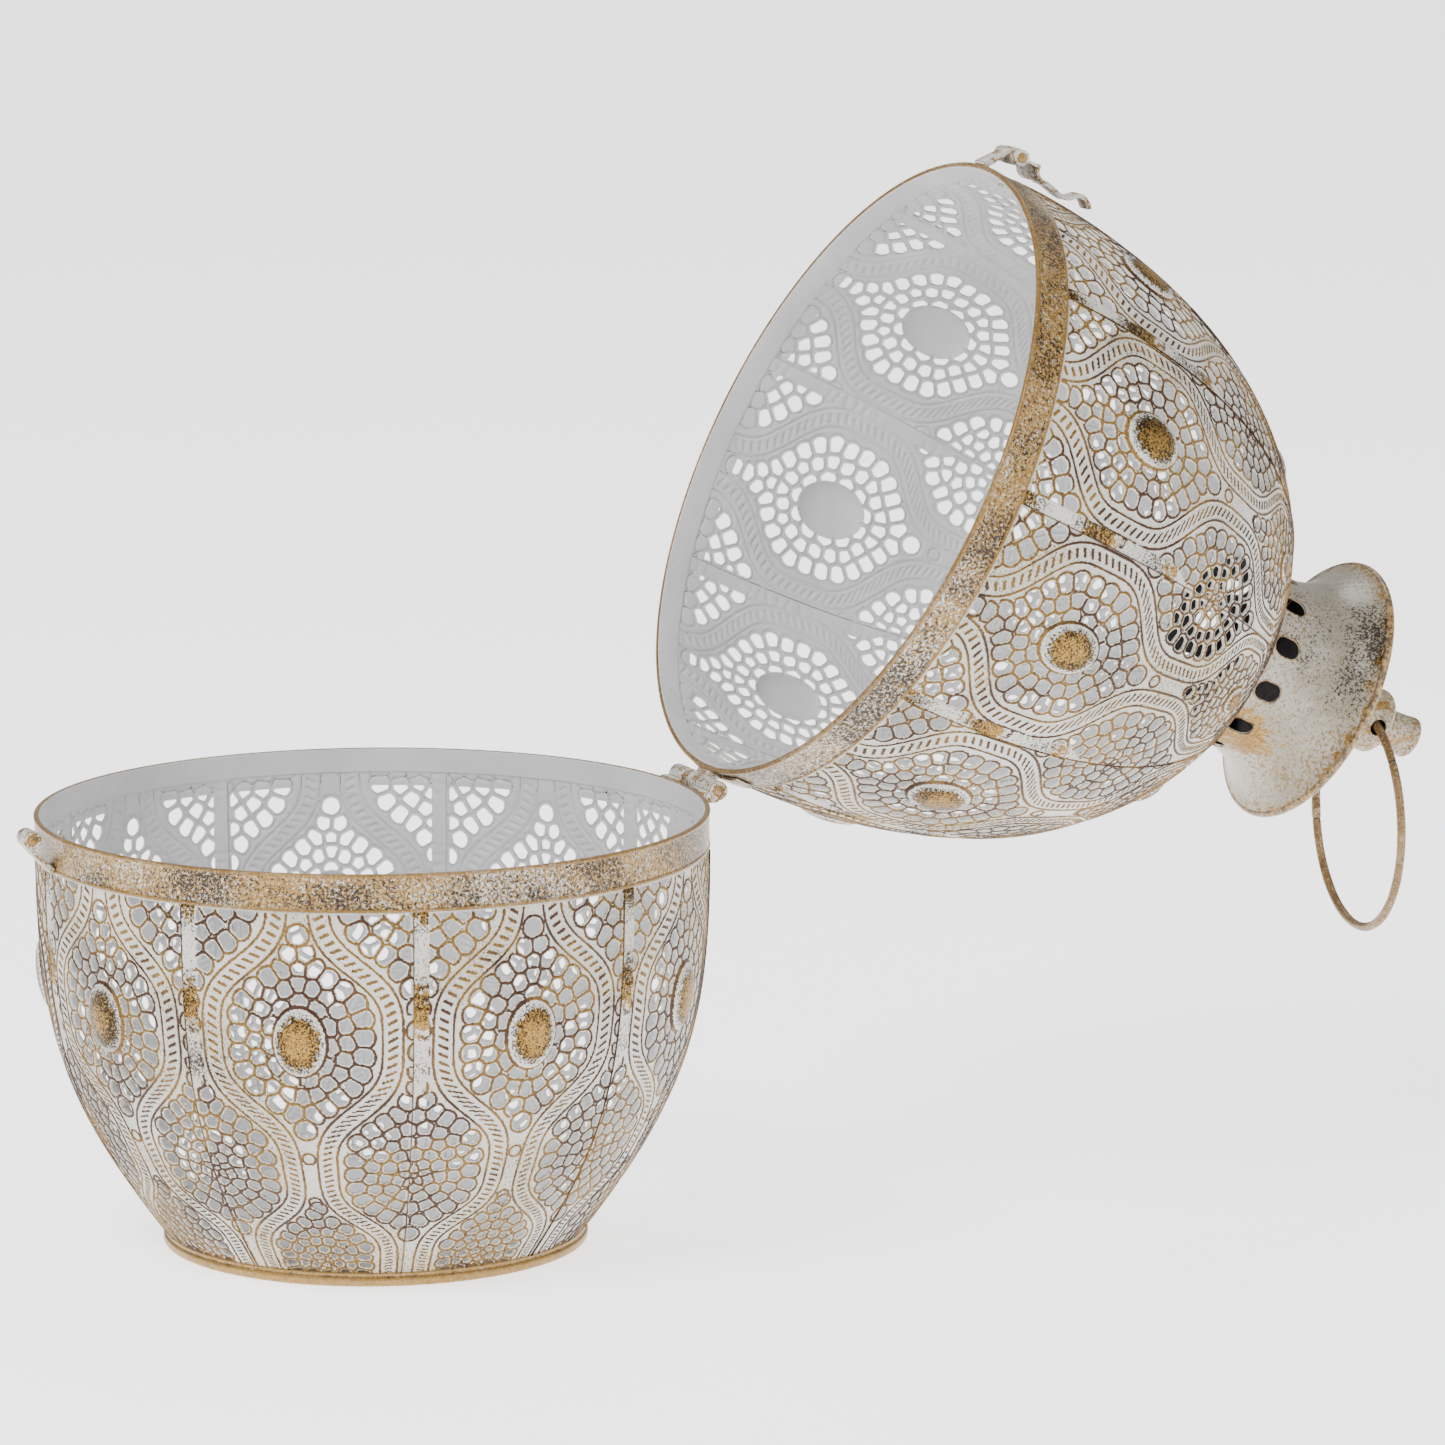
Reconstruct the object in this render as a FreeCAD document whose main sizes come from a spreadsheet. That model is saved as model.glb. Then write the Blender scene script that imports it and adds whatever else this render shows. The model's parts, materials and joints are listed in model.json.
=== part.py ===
"""Hanging lantern: a pierced bowl and a pierced domed lid, hinged at their rims.

Frame: millimetres, +Z up, origin at the centre of the foot, on the surface the
bowl stands on.  The hinge is at +Y, the latch at -Y.  The lid is drawn in its
own frame (origin at the centre of its rim, +Z towards the cap) and is placed
standing open, the way the lantern is loaded with a candle.
"""
import FreeCAD, Part
import Sketcher
import math
import os
from FreeCAD import Placement, Rotation, Vector

doc = FreeCAD.newDocument("lantern")
dims = doc.addObject("Spreadsheet::Sheet", "Dims")

# alias, value (mm or degrees), what it is
DIMENSIONS = [
    ("rim_radius", 120.0, "outside radius of both rim bands"),
    ("bowl_height", 155.8, "foot to rim of the bowl"),
    ("foot_radius", 76.0, "outside radius of the foot ring"),
    ("dome_height", 171.0, "rim of the lid to the top of its panels"),
    ("panel_count", 9, "pierced panels round each half"),
    ("panel_sheet", 0.3, "a 0.45 mm sheet less the third pierced out of it, as a plain sheet"),
    ("bowl_seam_angle", -13.9, "where the first bowl seam stands, from +X"),
    ("lid_seam_angle", -4.3, "where the first lid seam stands, from +X"),
    ("bowl_foot_slope", 52.6, "angle at which the bowl leaves the foot, from level"),
    ("bowl_foot_pull", 61.0, "how far the bowl keeps that angle"),
    ("bowl_wall_pull", 62.5, "how far the bowl wall stays upright under the band"),
    ("dome_wall_pull", 116.0, "how far the dome wall stays upright over the band"),
    ("dome_top_slope", 14.0, "angle at which the dome meets the neck, from level"),
    ("dome_top_pull", 24.0, "how far the dome keeps that angle"),
    ("band_height", 13.5, "height of a rim band"),
    ("band_wall", 0.8, "outer wall of a rim band"),
    ("band_liner", 0.6, "inner wall of a rim band"),
    ("band_web", 0.8, "metal of a rim band past the edge of the panels"),
    ("rim_gap", 0.4, "between the two rims when the lid is shut"),
    ("foot_ring_width", 4.5, "radial width of the foot ring"),
    ("foot_ring_height", 5.0, "height of the foot ring"),
    ("foot_ring_round", 2.1, "round on the lower outer edge of the foot ring"),
    ("foot_ring_shoulder", 1.2, "round on the upper outer edge of the foot ring"),
    ("base_plate_height", 10.6, "thickness of the heavy base plate"),
    ("hinge_offset", 5.4, "hinge axis outside the rim bands"),
    ("hinge_length", 38.0, "length of the three knuckles together"),
    ("lid_knuckle_length", 11.0, "length of the middle knuckle"),
    ("knuckle_radius", 3.6, "outside radius of the knuckles"),
    ("hinge_pin_radius", 1.9, "radius of the hinge pin"),
    ("running_gap", 0.05, "between a pin and the knuckle that turns on it"),
    ("side_gap", 0.3, "between neighbouring knuckles"),
    ("leaf_sheet", 1.2, "thickness of the hinge leaves"),
    ("leaf_drop", 12.0, "how far a leaf reaches along its band"),
    ("leaf_clear", 0.6, "between a knuckle and the leaf that passes it"),
    ("open_angle", 116.7, "how far the lid stands open"),
    ("latch_offset", 7.9, "latch pins outside the rim bands"),
    ("catch_rise", 12.5, "catch pin above the lower edge of the bowl band"),
    ("bracket_rise", 10.5, "clasp pin above the lower edge of the lid band"),
    ("barrel_radius", 3.2, "outside radius of the rolled latch barrels"),
    ("barrel_length", 8.5, "length of the rolled latch barrels"),
    ("latch_pin_radius", 1.9, "radius of the two latch pins"),
    ("latch_sheet", 1.0, "thickness of the latch straps and the clasp"),
    ("clasp_ear_length", 4.6, "length of each ear of the clasp on its pin"),
    ("clasp_ear_radius", 2.9, "outside radius of the ears of the clasp"),
    ("hook_gap", 0.4, "between the catch barrel and the hook of the clasp"),
    ("hook_lead", 100.0, "angle at which the hook starts, from outward"),
    ("hook_end", -20.0, "angle at which the hook ends, from outward"),
    ("lever_width", 7.0, "width of the finger lever of the clasp"),
    ("lever_sheet", 1.6, "thickness of the finger lever"),
    ("clasp_open_angle", 180.0, "how far the clasp is turned back"),
    ("neck_radius", 34.2, "outside radius of the neck with the vents"),
    ("neck_depth", 6.0, "how far the neck reaches down inside the dome"),
    ("neck_height", 13.5, "straight part of the neck above the dome"),
    ("collar_sheet", 0.6, "thickness of the flared collar"),
    ("flare_radius", 51.2, "outside radius of the rolled edge of the collar"),
    ("flare_height", 27.5, "rise of the flare above the straight neck"),
    ("flare_roll", 1.5, "radius of the rolled edge of the collar"),
    ("vent_count", 12, "vents round the neck"),
    ("vent_length", 10.6, "length of a vent, along the neck"),
    ("vent_width", 7.2, "width of a vent, round the neck"),
    ("vent_rise", 8.25, "middle of the vents above the top of the dome"),
    ("crown_rise", 4.0, "rise of the crown plate to the finial"),
    ("crown_sheet", 0.6, "thickness of the crown plate"),
    ("crown_seat", 2.0, "flat of the crown plate round the finial"),
    ("finial_radius", 12.4, "outside radius of the finial"),
    ("finial_height", 30.0, "height of the finial above the crown plate"),
    ("finial_round", 4.0, "round of the shoulder of the finial"),
    ("finial_sheet", 1.0, "wall of the finial"),
    ("eye_drop", 6.6, "ring holes below the top of the finial"),
    ("eye_radius", 3.2, "radius of the ring holes"),
    ("eye_angle", 10.0, "direction of the line through the ring holes, from +X"),
    ("knob_radius", 7.9, "radius of the knob"),
    ("knob_height", 14.5, "height of the knob"),
    ("knob_round", 1.8, "round of the top edge of the knob"),
    ("knob_waist", 0.9, "how much slimmer the knob is at its foot"),
    ("tenon_radius", 2.5, "radius of the tenon that holds the knob"),
    ("tenon_head", 0.6, "thickness of the upset end of the tenon"),
    ("tenon_spread", 1.5, "how far the upset end stands out past the tenon"),
    ("ring_outer_radius", 43.0, "outside radius of the carrying ring"),
    ("ring_wire_radius", 1.75, "radius of the wire of the carrying ring"),
]


def fill_sheet():
    for row, (alias, value, note) in enumerate(DIMENSIONS, start=1):
        dims.set("A%d" % row, alias)
        dims.set("B%d" % row, str(value))
        dims.set("C%d" % row, note)
        dims.setAlias("B%d" % row, alias)
    doc.recompute()


fill_sheet()
D = {alias: float(dims.get(alias)) for alias, _, _ in DIMENSIONS}
X_AXIS = Vector(1, 0, 0)
Z_AXIS = Vector(0, 0, 1)
ORIGIN = Vector(0, 0, 0)
nodes = []


# ---------------------------------------------------------------- derived places
seam_step = 360.0 / D["panel_count"]
panel_radius = D["rim_radius"] - D["band_wall"]
hinge_y = D["rim_radius"] + D["hinge_offset"]
hinge_z = D["bowl_height"] + D["rim_gap"] / 2
latch_y = -(D["rim_radius"] + D["latch_offset"])
catch_z = D["bowl_height"] - D["band_height"] + D["catch_rise"]
clasp_z = D["bracket_rise"]
# the two latch pins are this far apart when the lid is shut
latch_reach = D["bowl_height"] + D["rim_gap"] + clasp_z - catch_z
flare_z = D["dome_height"] + D["neck_height"] + D["flare_height"]
finial_z = flare_z + D["crown_rise"]
finial_top = finial_z + D["finial_height"]
eye_z = finial_top - D["eye_drop"]

lid_shut = Placement(Vector(0, 0, D["bowl_height"] + D["rim_gap"]), Rotation())
lid_swing = Placement(ORIGIN, Rotation(X_AXIS, -D["open_angle"]), Vector(0, hinge_y, hinge_z))
lid_place = lid_swing.multiply(lid_shut)


# ---------------------------------------------------------------- small helpers
def bind(obj, **expressions):
    """Bind properties of obj to cells of the sheet."""
    for prop, expression in expressions.items():
        obj.setExpression(prop.replace("__", "."), expression)
    return obj


def cylinder(name, radius, height, base_z="0"):
    obj = doc.addObject("Part::Cylinder", name)
    return bind(obj, Radius=radius, Height=height, Placement__Base__z=base_z)


def cut(name, base, tool):
    obj = doc.addObject("Part::Cut", name)
    obj.Base = base
    obj.Tool = tool
    return obj


def node(label, obj, placement=None):
    """Give a finished piece its name and, where it needs one, its place."""
    obj.Label = label
    if placement is not None:
        obj.Placement = placement
    nodes.append(obj)
    return obj


def feature(label, shape, placement=None):
    """A piece whose shape is worked out here rather than by a feature of the tree."""
    obj = doc.addObject("Part::Feature", label)
    obj.Shape = shape
    return node(label, obj, placement)


def curve(*poles):
    """A Bezier edge through the plane y = 0 with (radius, height) poles."""
    bezier = Part.BezierCurve()
    bezier.setPoles([Vector(radius, 0, z) for radius, z in poles])
    return bezier.toShape()


def line(start, end):
    return Part.LineSegment(Vector(start[0], 0, start[1]), Vector(end[0], 0, end[1])).toShape()


def round_edge(middle, radius, start, end):
    """An arc in the plane y = 0 about middle (radius, height), between two angles."""
    points = []
    for angle in (start, (start + end) / 2, end):
        turn = math.radians(angle)
        points.append(Vector(middle[0] + radius * math.cos(turn), 0, middle[1] + radius * math.sin(turn)))
    return Part.Arc(*points).toShape()


def turned(edges):
    """The solid that a closed outline in the plane y = 0 sweeps about the Z axis."""
    face = Part.Face(Part.Wire(Part.__sortEdges__(edges)))
    return face.revolve(ORIGIN, Z_AXIS, 360)


def round_bar(radius, length, place):
    """A round bar along X, centred on place."""
    start = place - X_AXIS * (length / 2)
    return Part.makeCylinder(radius, length, start, X_AXIS)


# ---------------------------------------------------------------- panels
def panel_outline(poles, foot_shift, edge_top):
    """Outline of a panel: four poles of its outer curve, then upright into the band.

    foot_shift moves the inner curve's first two poles square to the sheet there."""
    sheet = D["panel_sheet"]
    dr, dz = foot_shift
    inner = [(poles[0][0] + dr, poles[0][1] + dz), (poles[1][0] + dr, poles[1][1] + dz)]
    inner += [(poles[2][0] - sheet, poles[2][1]), (poles[3][0] - sheet, poles[3][1])]
    edges = [curve(*poles), curve(*inner), line(poles[0], inner[0])]
    edges += [line(poles[3], (poles[3][0], edge_top)), line(inner[3], (inner[3][0], edge_top))]
    edges += [line((poles[3][0], edge_top), (inner[3][0], edge_top))]
    return Part.Face(Part.Wire(Part.__sortEdges__(edges)))


def bowl_outline():
    slope = math.radians(D["bowl_foot_slope"])
    sheet = D["panel_sheet"]
    # the panels stand on the flat of the foot ring
    foot_r = D["foot_radius"] - D["foot_ring_shoulder"]
    foot_z = D["foot_ring_height"]
    band_z = D["bowl_height"] - D["band_height"]
    pull = D["bowl_foot_pull"]
    poles = [(foot_r, foot_z),
             (foot_r + pull * math.cos(slope), foot_z + pull * math.sin(slope)),
             (panel_radius, band_z - D["bowl_wall_pull"]),
             (panel_radius, band_z)]
    # cut level where it stands on the foot ring, so the inner curve starts beside it
    shift = (-sheet / math.sin(slope), 0)
    return panel_outline(poles, shift, D["bowl_height"] - D["band_web"])


def dome_outline():
    slope = math.radians(D["dome_top_slope"])
    sheet = D["panel_sheet"]
    neck_r = D["neck_radius"]
    top = D["dome_height"]
    pull = D["dome_top_pull"]
    poles = [(neck_r, top),
             (neck_r + pull * math.cos(slope), top - pull * math.sin(slope)),
             (panel_radius, D["band_height"] + D["dome_wall_pull"]),
             (panel_radius, D["band_height"])]
    # cut upright where it meets the neck, so the inner curve starts below it
    shift = (0, -sheet / math.cos(slope))
    return panel_outline(poles, shift, D["band_web"])


def panels(prefix, outline, seam_angle, body_place):
    """The ring of panels: one outline turned through a share of the circle each."""
    profile = doc.addObject("Part::Feature", prefix + "_profile")
    profile.Shape = outline
    for index in range(int(D["panel_count"])):
        turn = doc.addObject("Part::Revolution", "%s_panel_%d" % (prefix, index + 1))
        turn.Source = profile
        turn.Axis = Z_AXIS
        turn.Base = ORIGIN
        bind(turn, Angle="360 / Dims.panel_count")
        turn_to = Placement(ORIGIN, Rotation(Z_AXIS, seam_angle + index * seam_step))
        node("%s_panel_%d" % (prefix, index + 1), turn, body_place.multiply(turn_to))


# ---------------------------------------------------------------- bands, foot, base
def rim_band(label, slot_z, placement):
    """A folded band that grips the edges of the panels between its two walls.

    slot_z is where the groove for the panels starts above the band's lower edge."""
    liner_r = "Dims.rim_radius - Dims.band_wall - Dims.panel_sheet - Dims.band_liner"
    wall = cylinder(label + "_blank", "Dims.rim_radius", "Dims.band_height")
    bore = cylinder(label + "_bore", liner_r, "Dims.band_height")
    groove_outer = cylinder(label + "_groove_outer", "Dims.rim_radius - Dims.band_wall",
                            "Dims.band_height - Dims.band_web", slot_z)
    groove_inner = cylinder(label + "_groove_inner",
                            "Dims.rim_radius - Dims.band_wall - Dims.panel_sheet",
                            "Dims.band_height - Dims.band_web", slot_z)
    ring = cut(label + "_ring", wall, bore)
    groove = cut(label + "_groove", groove_outer, groove_inner)
    node(label, cut(label, ring, groove), placement)


def foot_ring():
    """The ring the bowl stands on: flat above and below, rounded outside."""
    outer = D["foot_radius"]
    inner = outer - D["foot_ring_width"]
    height = D["foot_ring_height"]
    low = D["foot_ring_round"]
    high = D["foot_ring_shoulder"]
    edges = [round_edge((outer - low, low), low, -90, 0),
             line((outer, low), (outer, height - high)),
             round_edge((outer - high, height - high), high, 0, 90),
             line((outer - high, height), (inner, height)),
             line((inner, height), (inner, 0)),
             line((inner, 0), (outer - low, 0))]
    feature("foot_ring", turned(edges))


def base_plate():
    """The heavy round plate that closes the foot, keeps it down and carries the candle."""
    body = doc.addObject("PartDesign::Body", "base_plate_body")
    sketch = body.newObject("Sketcher::SketchObject", "base_plate_sketch")
    plane = [f for f in body.Origin.OriginFeatures if f.Role == "XY_Plane"][0]
    sketch.AttachmentSupport = [(plane, "")]
    sketch.MapMode = "FlatFace"
    radius = D["foot_radius"] - D["foot_ring_width"]
    circle = sketch.addGeometry(Part.Circle(ORIGIN, Z_AXIS, radius))
    sketch.addConstraint(Sketcher.Constraint("Coincident", circle, 3, -1, 1))
    size = sketch.addConstraint(Sketcher.Constraint("Radius", circle, radius))
    sketch.setExpression("Constraints[%d]" % size, "Dims.foot_radius - Dims.foot_ring_width")
    pad = body.newObject("PartDesign::Pad", "base_plate_pad")
    pad.Profile = sketch
    bind(pad, Length="Dims.base_plate_height")
    node("base_plate", body)


# ---------------------------------------------------------------- hinge
def leaf(z_low, z_high):
    """A hinge leaf: a strip as wide as the hinge, curved to lie on the band."""
    outer = Part.makeCylinder(D["rim_radius"] + D["leaf_sheet"], z_high - z_low, Vector(0, 0, z_low))
    inner = Part.makeCylinder(D["rim_radius"], z_high - z_low, Vector(0, 0, z_low))
    width = D["hinge_length"]
    window = Part.makeBox(width, hinge_y, z_high - z_low, Vector(-width / 2, 0, z_low))
    return outer.cut(inner).common(window)


def knuckle(x_low, x_high, axis_z, bore, web_z):
    """A knuckle with the web that joins it to its leaf; web_z is the web's far edge."""
    length = x_high - x_low
    middle = Vector((x_low + x_high) / 2, hinge_y, axis_z)
    barrel = round_bar(D["knuckle_radius"], length, middle)
    low, high = min(axis_z, web_z), max(axis_z, web_z)
    # the band curves away from the middle of the hinge, so the web starts past it and is trimmed
    start_y = math.sqrt(D["rim_radius"] ** 2 - (D["hinge_length"] / 2) ** 2)
    web = Part.makeBox(length, hinge_y - start_y, high - low, Vector(x_low, start_y, low))
    web = web.cut(Part.makeCylinder(D["rim_radius"], high - low, Vector(0, 0, low)))
    return barrel.fuse(web).cut(round_bar(bore, length + 2, middle)).removeSplitter()


def hinge():
    half = D["hinge_length"] / 2
    inner = D["lid_knuckle_length"] / 2
    clear = D["knuckle_radius"] + D["leaf_clear"]
    # bowl leaf, with an outer knuckle at each end
    leaf_top = hinge_z - clear
    shape = leaf(hinge_z - D["leaf_drop"], leaf_top)
    for side in (-1, 1):
        low, high = sorted((side * (inner + D["side_gap"]), side * half))
        web = knuckle(low, high, hinge_z, D["hinge_pin_radius"], leaf_top)
        shape = shape.fuse(web)
    feature("hinge_leaf_bowl", shape.removeSplitter())
    # lid leaf, with the middle knuckle, in the frame of the lid
    axis_z = -D["rim_gap"] / 2
    leaf_foot = axis_z + clear
    bore = D["hinge_pin_radius"] + D["running_gap"]
    shape = leaf(leaf_foot, axis_z + D["leaf_drop"])
    shape = shape.fuse(knuckle(-inner, inner, axis_z, bore, leaf_foot))
    feature("hinge_leaf_lid", shape.removeSplitter(), lid_place)
    # pin
    pin = round_bar(D["hinge_pin_radius"], D["hinge_length"], Vector(0, hinge_y, hinge_z))
    feature("hinge_pin", pin)


# ---------------------------------------------------------------- latch
def latch_strap(foot_z, pin_z):
    """A strap from the band at foot_z up and out to a barrel rolled round pin_z."""
    radius = D["barrel_radius"]
    sheet = D["latch_sheet"]
    length = D["barrel_length"]
    foot = Vector(0, -D["rim_radius"] - sheet, foot_z)
    pin = Vector(0, latch_y, pin_z)
    span = foot - pin
    # the outer face of the strap leaves the barrel square to this radius
    turn = math.acos(radius / span.Length)
    away = math.atan2(span.z, span.y) - turn
    touch = pin + Vector(0, math.cos(away), math.sin(away)) * radius
    inward = (pin - touch).normalize() * sheet
    half = Vector(length / 2, 0, 0)
    corners = [touch - half, foot - half, foot + Vector(0, sheet, 0) - half,
               foot + Vector(0, sheet, 2 * sheet) - half, touch + inward - half]
    blade = Part.Face(Part.makePolygon(corners + corners[:1])).extrude(half * 2)
    barrel = round_bar(radius, length, pin)
    bore = round_bar(D["latch_pin_radius"], length + 2, pin)
    return barrel.fuse(blade).cut(bore).removeSplitter()


# corners of the wedge that trims the hook out of a tube
HOOK_STEPS = 6
# middle line of the finger lever from the end of the hook: outward, downward (mm)
LEVER_WAVE = [(0, 0), (-0.1, 4.2), (1.2, 10.5), (0.6, 13.5), (-2.0, 17.0), (-1.0, 20.5), (0.8, 22.5)]


def clasp_shape():
    """The clasp as it hangs shut, drawn about its pin: ears, rails, hook, lever."""
    inner_x = D["barrel_length"] / 2 + D["side_gap"]
    outer_x = inner_x + D["clasp_ear_length"]
    sheet = D["latch_sheet"]
    hook_r = D["barrel_radius"] + D["hook_gap"]
    hook = Vector(0, 0, -latch_reach)
    # hook: part of a tube round the catch barrel, open towards the bowl
    tube = round_bar(hook_r + sheet, outer_x * 2, hook).cut(round_bar(hook_r, outer_x * 2 + 2, hook))
    start, end = math.radians(D["hook_lead"]), math.radians(D["hook_end"])
    reach = 3 * hook_r
    fan = [hook - X_AXIS * outer_x]
    for step in range(HOOK_STEPS + 1):
        angle = start + (end - start) * step / HOOK_STEPS
        fan.append(fan[0] + Vector(0, -math.cos(angle), math.sin(angle)) * reach)
    shape = tube.common(Part.Face(Part.makePolygon(fan + fan[:1])).extrude(X_AXIS * outer_x * 2))
    # rails and ears, one pair each side of the bracket
    rail_end = latch_reach - hook_r - sheet / 2
    for side in (-1, 1):
        low = min(side * inner_x, side * outer_x)
        middle = Vector(side * (inner_x + outer_x) / 2, 0, 0)
        rail = Part.makeBox(D["clasp_ear_length"], sheet, rail_end, Vector(low, -sheet / 2, -rail_end))
        ear = round_bar(D["clasp_ear_radius"], D["clasp_ear_length"], middle)
        shape = shape.fuse(rail.fuse(ear))
    shape = shape.fuse(lever_shape(hook, hook_r + D["lever_sheet"] / 2, end))
    bore = round_bar(D["latch_pin_radius"] + D["running_gap"], outer_x * 2 + 2, ORIGIN)
    return shape.cut(bore).removeSplitter()


def lever_shape(hook, radius, end):
    """The wavy finger lever that carries on from the end of the hook."""
    start = hook + Vector(0, -math.cos(end), math.sin(end)) * radius
    middle = [start + Vector(0, -out, -down) for out, down in LEVER_WAVE]
    spine = Part.BSplineCurve()
    spine.interpolate(middle)
    half = D["lever_sheet"] / 2
    sides = []
    for sign in (-1, 1):
        points = []
        for point in middle:
            along = spine.tangent(spine.parameter(point))[0]
            points.append(point + Vector(0, -along.z, along.y) * (sign * half))
        edge = Part.BSplineCurve()
        edge.interpolate(points)
        sides.append(edge)
    ends = [Part.LineSegment(sides[0].StartPoint, sides[1].StartPoint).toShape(),
            Part.LineSegment(sides[0].EndPoint, sides[1].EndPoint).toShape()]
    edges = [side.toShape() for side in sides] + ends
    face = Part.Face(Part.Wire(Part.__sortEdges__(edges)))
    face.translate(X_AXIS * (-D["lever_width"] / 2))
    return face.extrude(X_AXIS * D["lever_width"])


def latch():
    outer_x = D["barrel_length"] / 2 + D["side_gap"] + D["clasp_ear_length"]
    band_foot = D["bowl_height"] - D["band_height"]
    feature("latch_catch", latch_strap(band_foot, catch_z))
    catch_pin = round_bar(D["latch_pin_radius"], D["barrel_length"], Vector(0, latch_y, catch_z))
    feature("catch_pin", catch_pin)
    feature("clasp_bracket", latch_strap(0, clasp_z), lid_place)
    clasp_pin = round_bar(D["latch_pin_radius"], outer_x * 2, Vector(0, latch_y, clasp_z))
    feature("clasp_pin", clasp_pin, lid_place)
    turned_back = Placement(Vector(0, latch_y, clasp_z), Rotation(X_AXIS, -D["clasp_open_angle"]))
    feature("latch_clasp", clasp_shape(), lid_place.multiply(turned_back))


# ---------------------------------------------------------------- cap
# poles of the flare, as shares of its rise and of how far it spreads
FLARE_START = 0.33
FLARE_UP = 0.64
FLARE_OUT = 0.4
# where the crown plate starts to level out, as a share of its radius and of its rise
CROWN_SHARE = 0.2


def vent(angle):
    """A round-ended slot through the neck wall, long way up, at one angle."""
    half = D["vent_width"] / 2
    centre_z = D["dome_height"] + D["vent_rise"]
    straight = D["vent_length"] - D["vent_width"]
    depth = D["neck_radius"] + D["flare_radius"]
    tool = Part.makeBox(depth, half * 2, straight, Vector(0, -half, centre_z - straight / 2))
    for end in (-1, 1):
        centre = Vector(0, 0, centre_z + end * straight / 2)
        tool = tool.fuse(Part.makeCylinder(half, depth, centre, X_AXIS))
    tool.rotate(ORIGIN, Z_AXIS, angle)
    return tool


def vent_collar():
    """The neck with its vents, flaring out like a trumpet to a rolled edge."""
    sheet = D["collar_sheet"]
    neck = D["neck_radius"]
    foot = D["dome_height"] - D["neck_depth"]
    bend = D["dome_height"] + D["neck_height"]
    roll = D["flare_roll"]
    edge_r = D["flare_radius"] - roll
    rise = D["flare_height"]
    spread = edge_r - neck
    poles = [(neck, bend), (neck, bend + FLARE_START * rise),
             (neck + FLARE_OUT * spread, bend + FLARE_UP * rise), (edge_r, flare_z - roll)]
    inner = [(poles[0][0] - sheet, poles[0][1]), (poles[1][0] - sheet, poles[1][1]),
             (poles[2][0] - sheet, poles[2][1] + sheet), (poles[3][0], poles[3][1] + sheet)]
    edges = [curve(*poles), curve(*inner), line(poles[3], inner[3]),
             line((neck, foot), poles[0]), line((neck - sheet, foot), inner[0]),
             line((neck, foot), (neck - sheet, foot))]
    shape = turned(edges)
    shape = shape.fuse(Part.makeTorus(edge_r, roll, Vector(0, 0, flare_z)))
    for index in range(int(D["vent_count"])):
        shape = shape.cut(vent((index + 0.5) * 360.0 / D["vent_count"]))
    feature("vent_collar", shape.removeSplitter(), lid_place)


def crown_plate():
    """The shallow plate that closes the flare and carries the finial."""
    sheet = D["crown_sheet"]
    rim_r = D["flare_radius"] - 2 * D["flare_roll"]
    seat_r = D["finial_radius"] + D["crown_seat"]
    rise = D["crown_rise"]
    low = flare_z - sheet
    poles = [(rim_r, low), (rim_r * (1 - CROWN_SHARE), low + rise * CROWN_SHARE),
             (seat_r + rim_r * CROWN_SHARE, finial_z - sheet), (seat_r, finial_z - sheet)]
    upper = [(r, z + sheet) for r, z in poles]
    edges = [curve(*poles), curve(*upper), line(poles[0], upper[0]),
             line(poles[3], (0, finial_z - sheet)), line(upper[3], (0, finial_z)),
             line((0, finial_z - sheet), (0, finial_z))]
    feature("crown_plate", turned(edges), lid_place)


def finial():
    """The hollow finial, round-shouldered, with two holes for the carrying ring."""
    radius = D["finial_radius"]
    sheet = D["finial_sheet"]
    bend = D["finial_round"]
    outer = Part.makeCylinder(radius, D["finial_height"], Vector(0, 0, finial_z))
    outer = outer.makeFillet(bend, [e for e in outer.Edges
                                    if abs(e.BoundBox.ZMin - finial_top) < 1e-6])
    room = Part.makeCylinder(radius - sheet, D["finial_height"] - sheet, Vector(0, 0, finial_z))
    room = room.makeFillet(bend - sheet, [e for e in room.Edges
                                          if abs(e.BoundBox.ZMin - finial_top + sheet) < 1e-6])
    shape = outer.cut(room)
    tenon_hole = Part.makeCylinder(D["tenon_radius"], sheet * 3, Vector(0, 0, finial_top - 2 * sheet))
    shape = shape.cut(tenon_hole)
    along = Vector(math.cos(math.radians(D["eye_angle"])), math.sin(math.radians(D["eye_angle"])), 0)
    start = Vector(0, 0, eye_z) - along * (radius * 2)
    shape = shape.cut(Part.makeCylinder(D["eye_radius"], radius * 4, start, along))
    feature("finial", shape, lid_place)


def finial_knob():
    """The solid knob on the finial, held by a tenon upset inside it."""
    radius = D["knob_radius"]
    waist = radius - D["knob_waist"]
    top = finial_top + D["knob_height"]
    bend = D["knob_round"]
    tenon = D["tenon_radius"]
    wall = D["finial_sheet"]
    head = tenon + D["tenon_spread"]
    inside = finial_top - wall
    shoulder = round_edge((radius - bend, top - bend), bend, 0, 90)
    flank = curve((waist, finial_top), (waist, (finial_top + top) / 2), (radius, top - bend))
    edges = [flank, shoulder, line((radius - bend, top), (0, top)),
             line((0, top), (0, inside - D["tenon_head"])),
             line((0, inside - D["tenon_head"]), (head, inside - D["tenon_head"])),
             line((head, inside - D["tenon_head"]), (head, inside)),
             line((head, inside), (tenon, inside)), line((tenon, inside), (tenon, finial_top)),
             line((tenon, finial_top), (waist, finial_top))]
    feature("finial_knob", turned(edges), lid_place)


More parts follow.
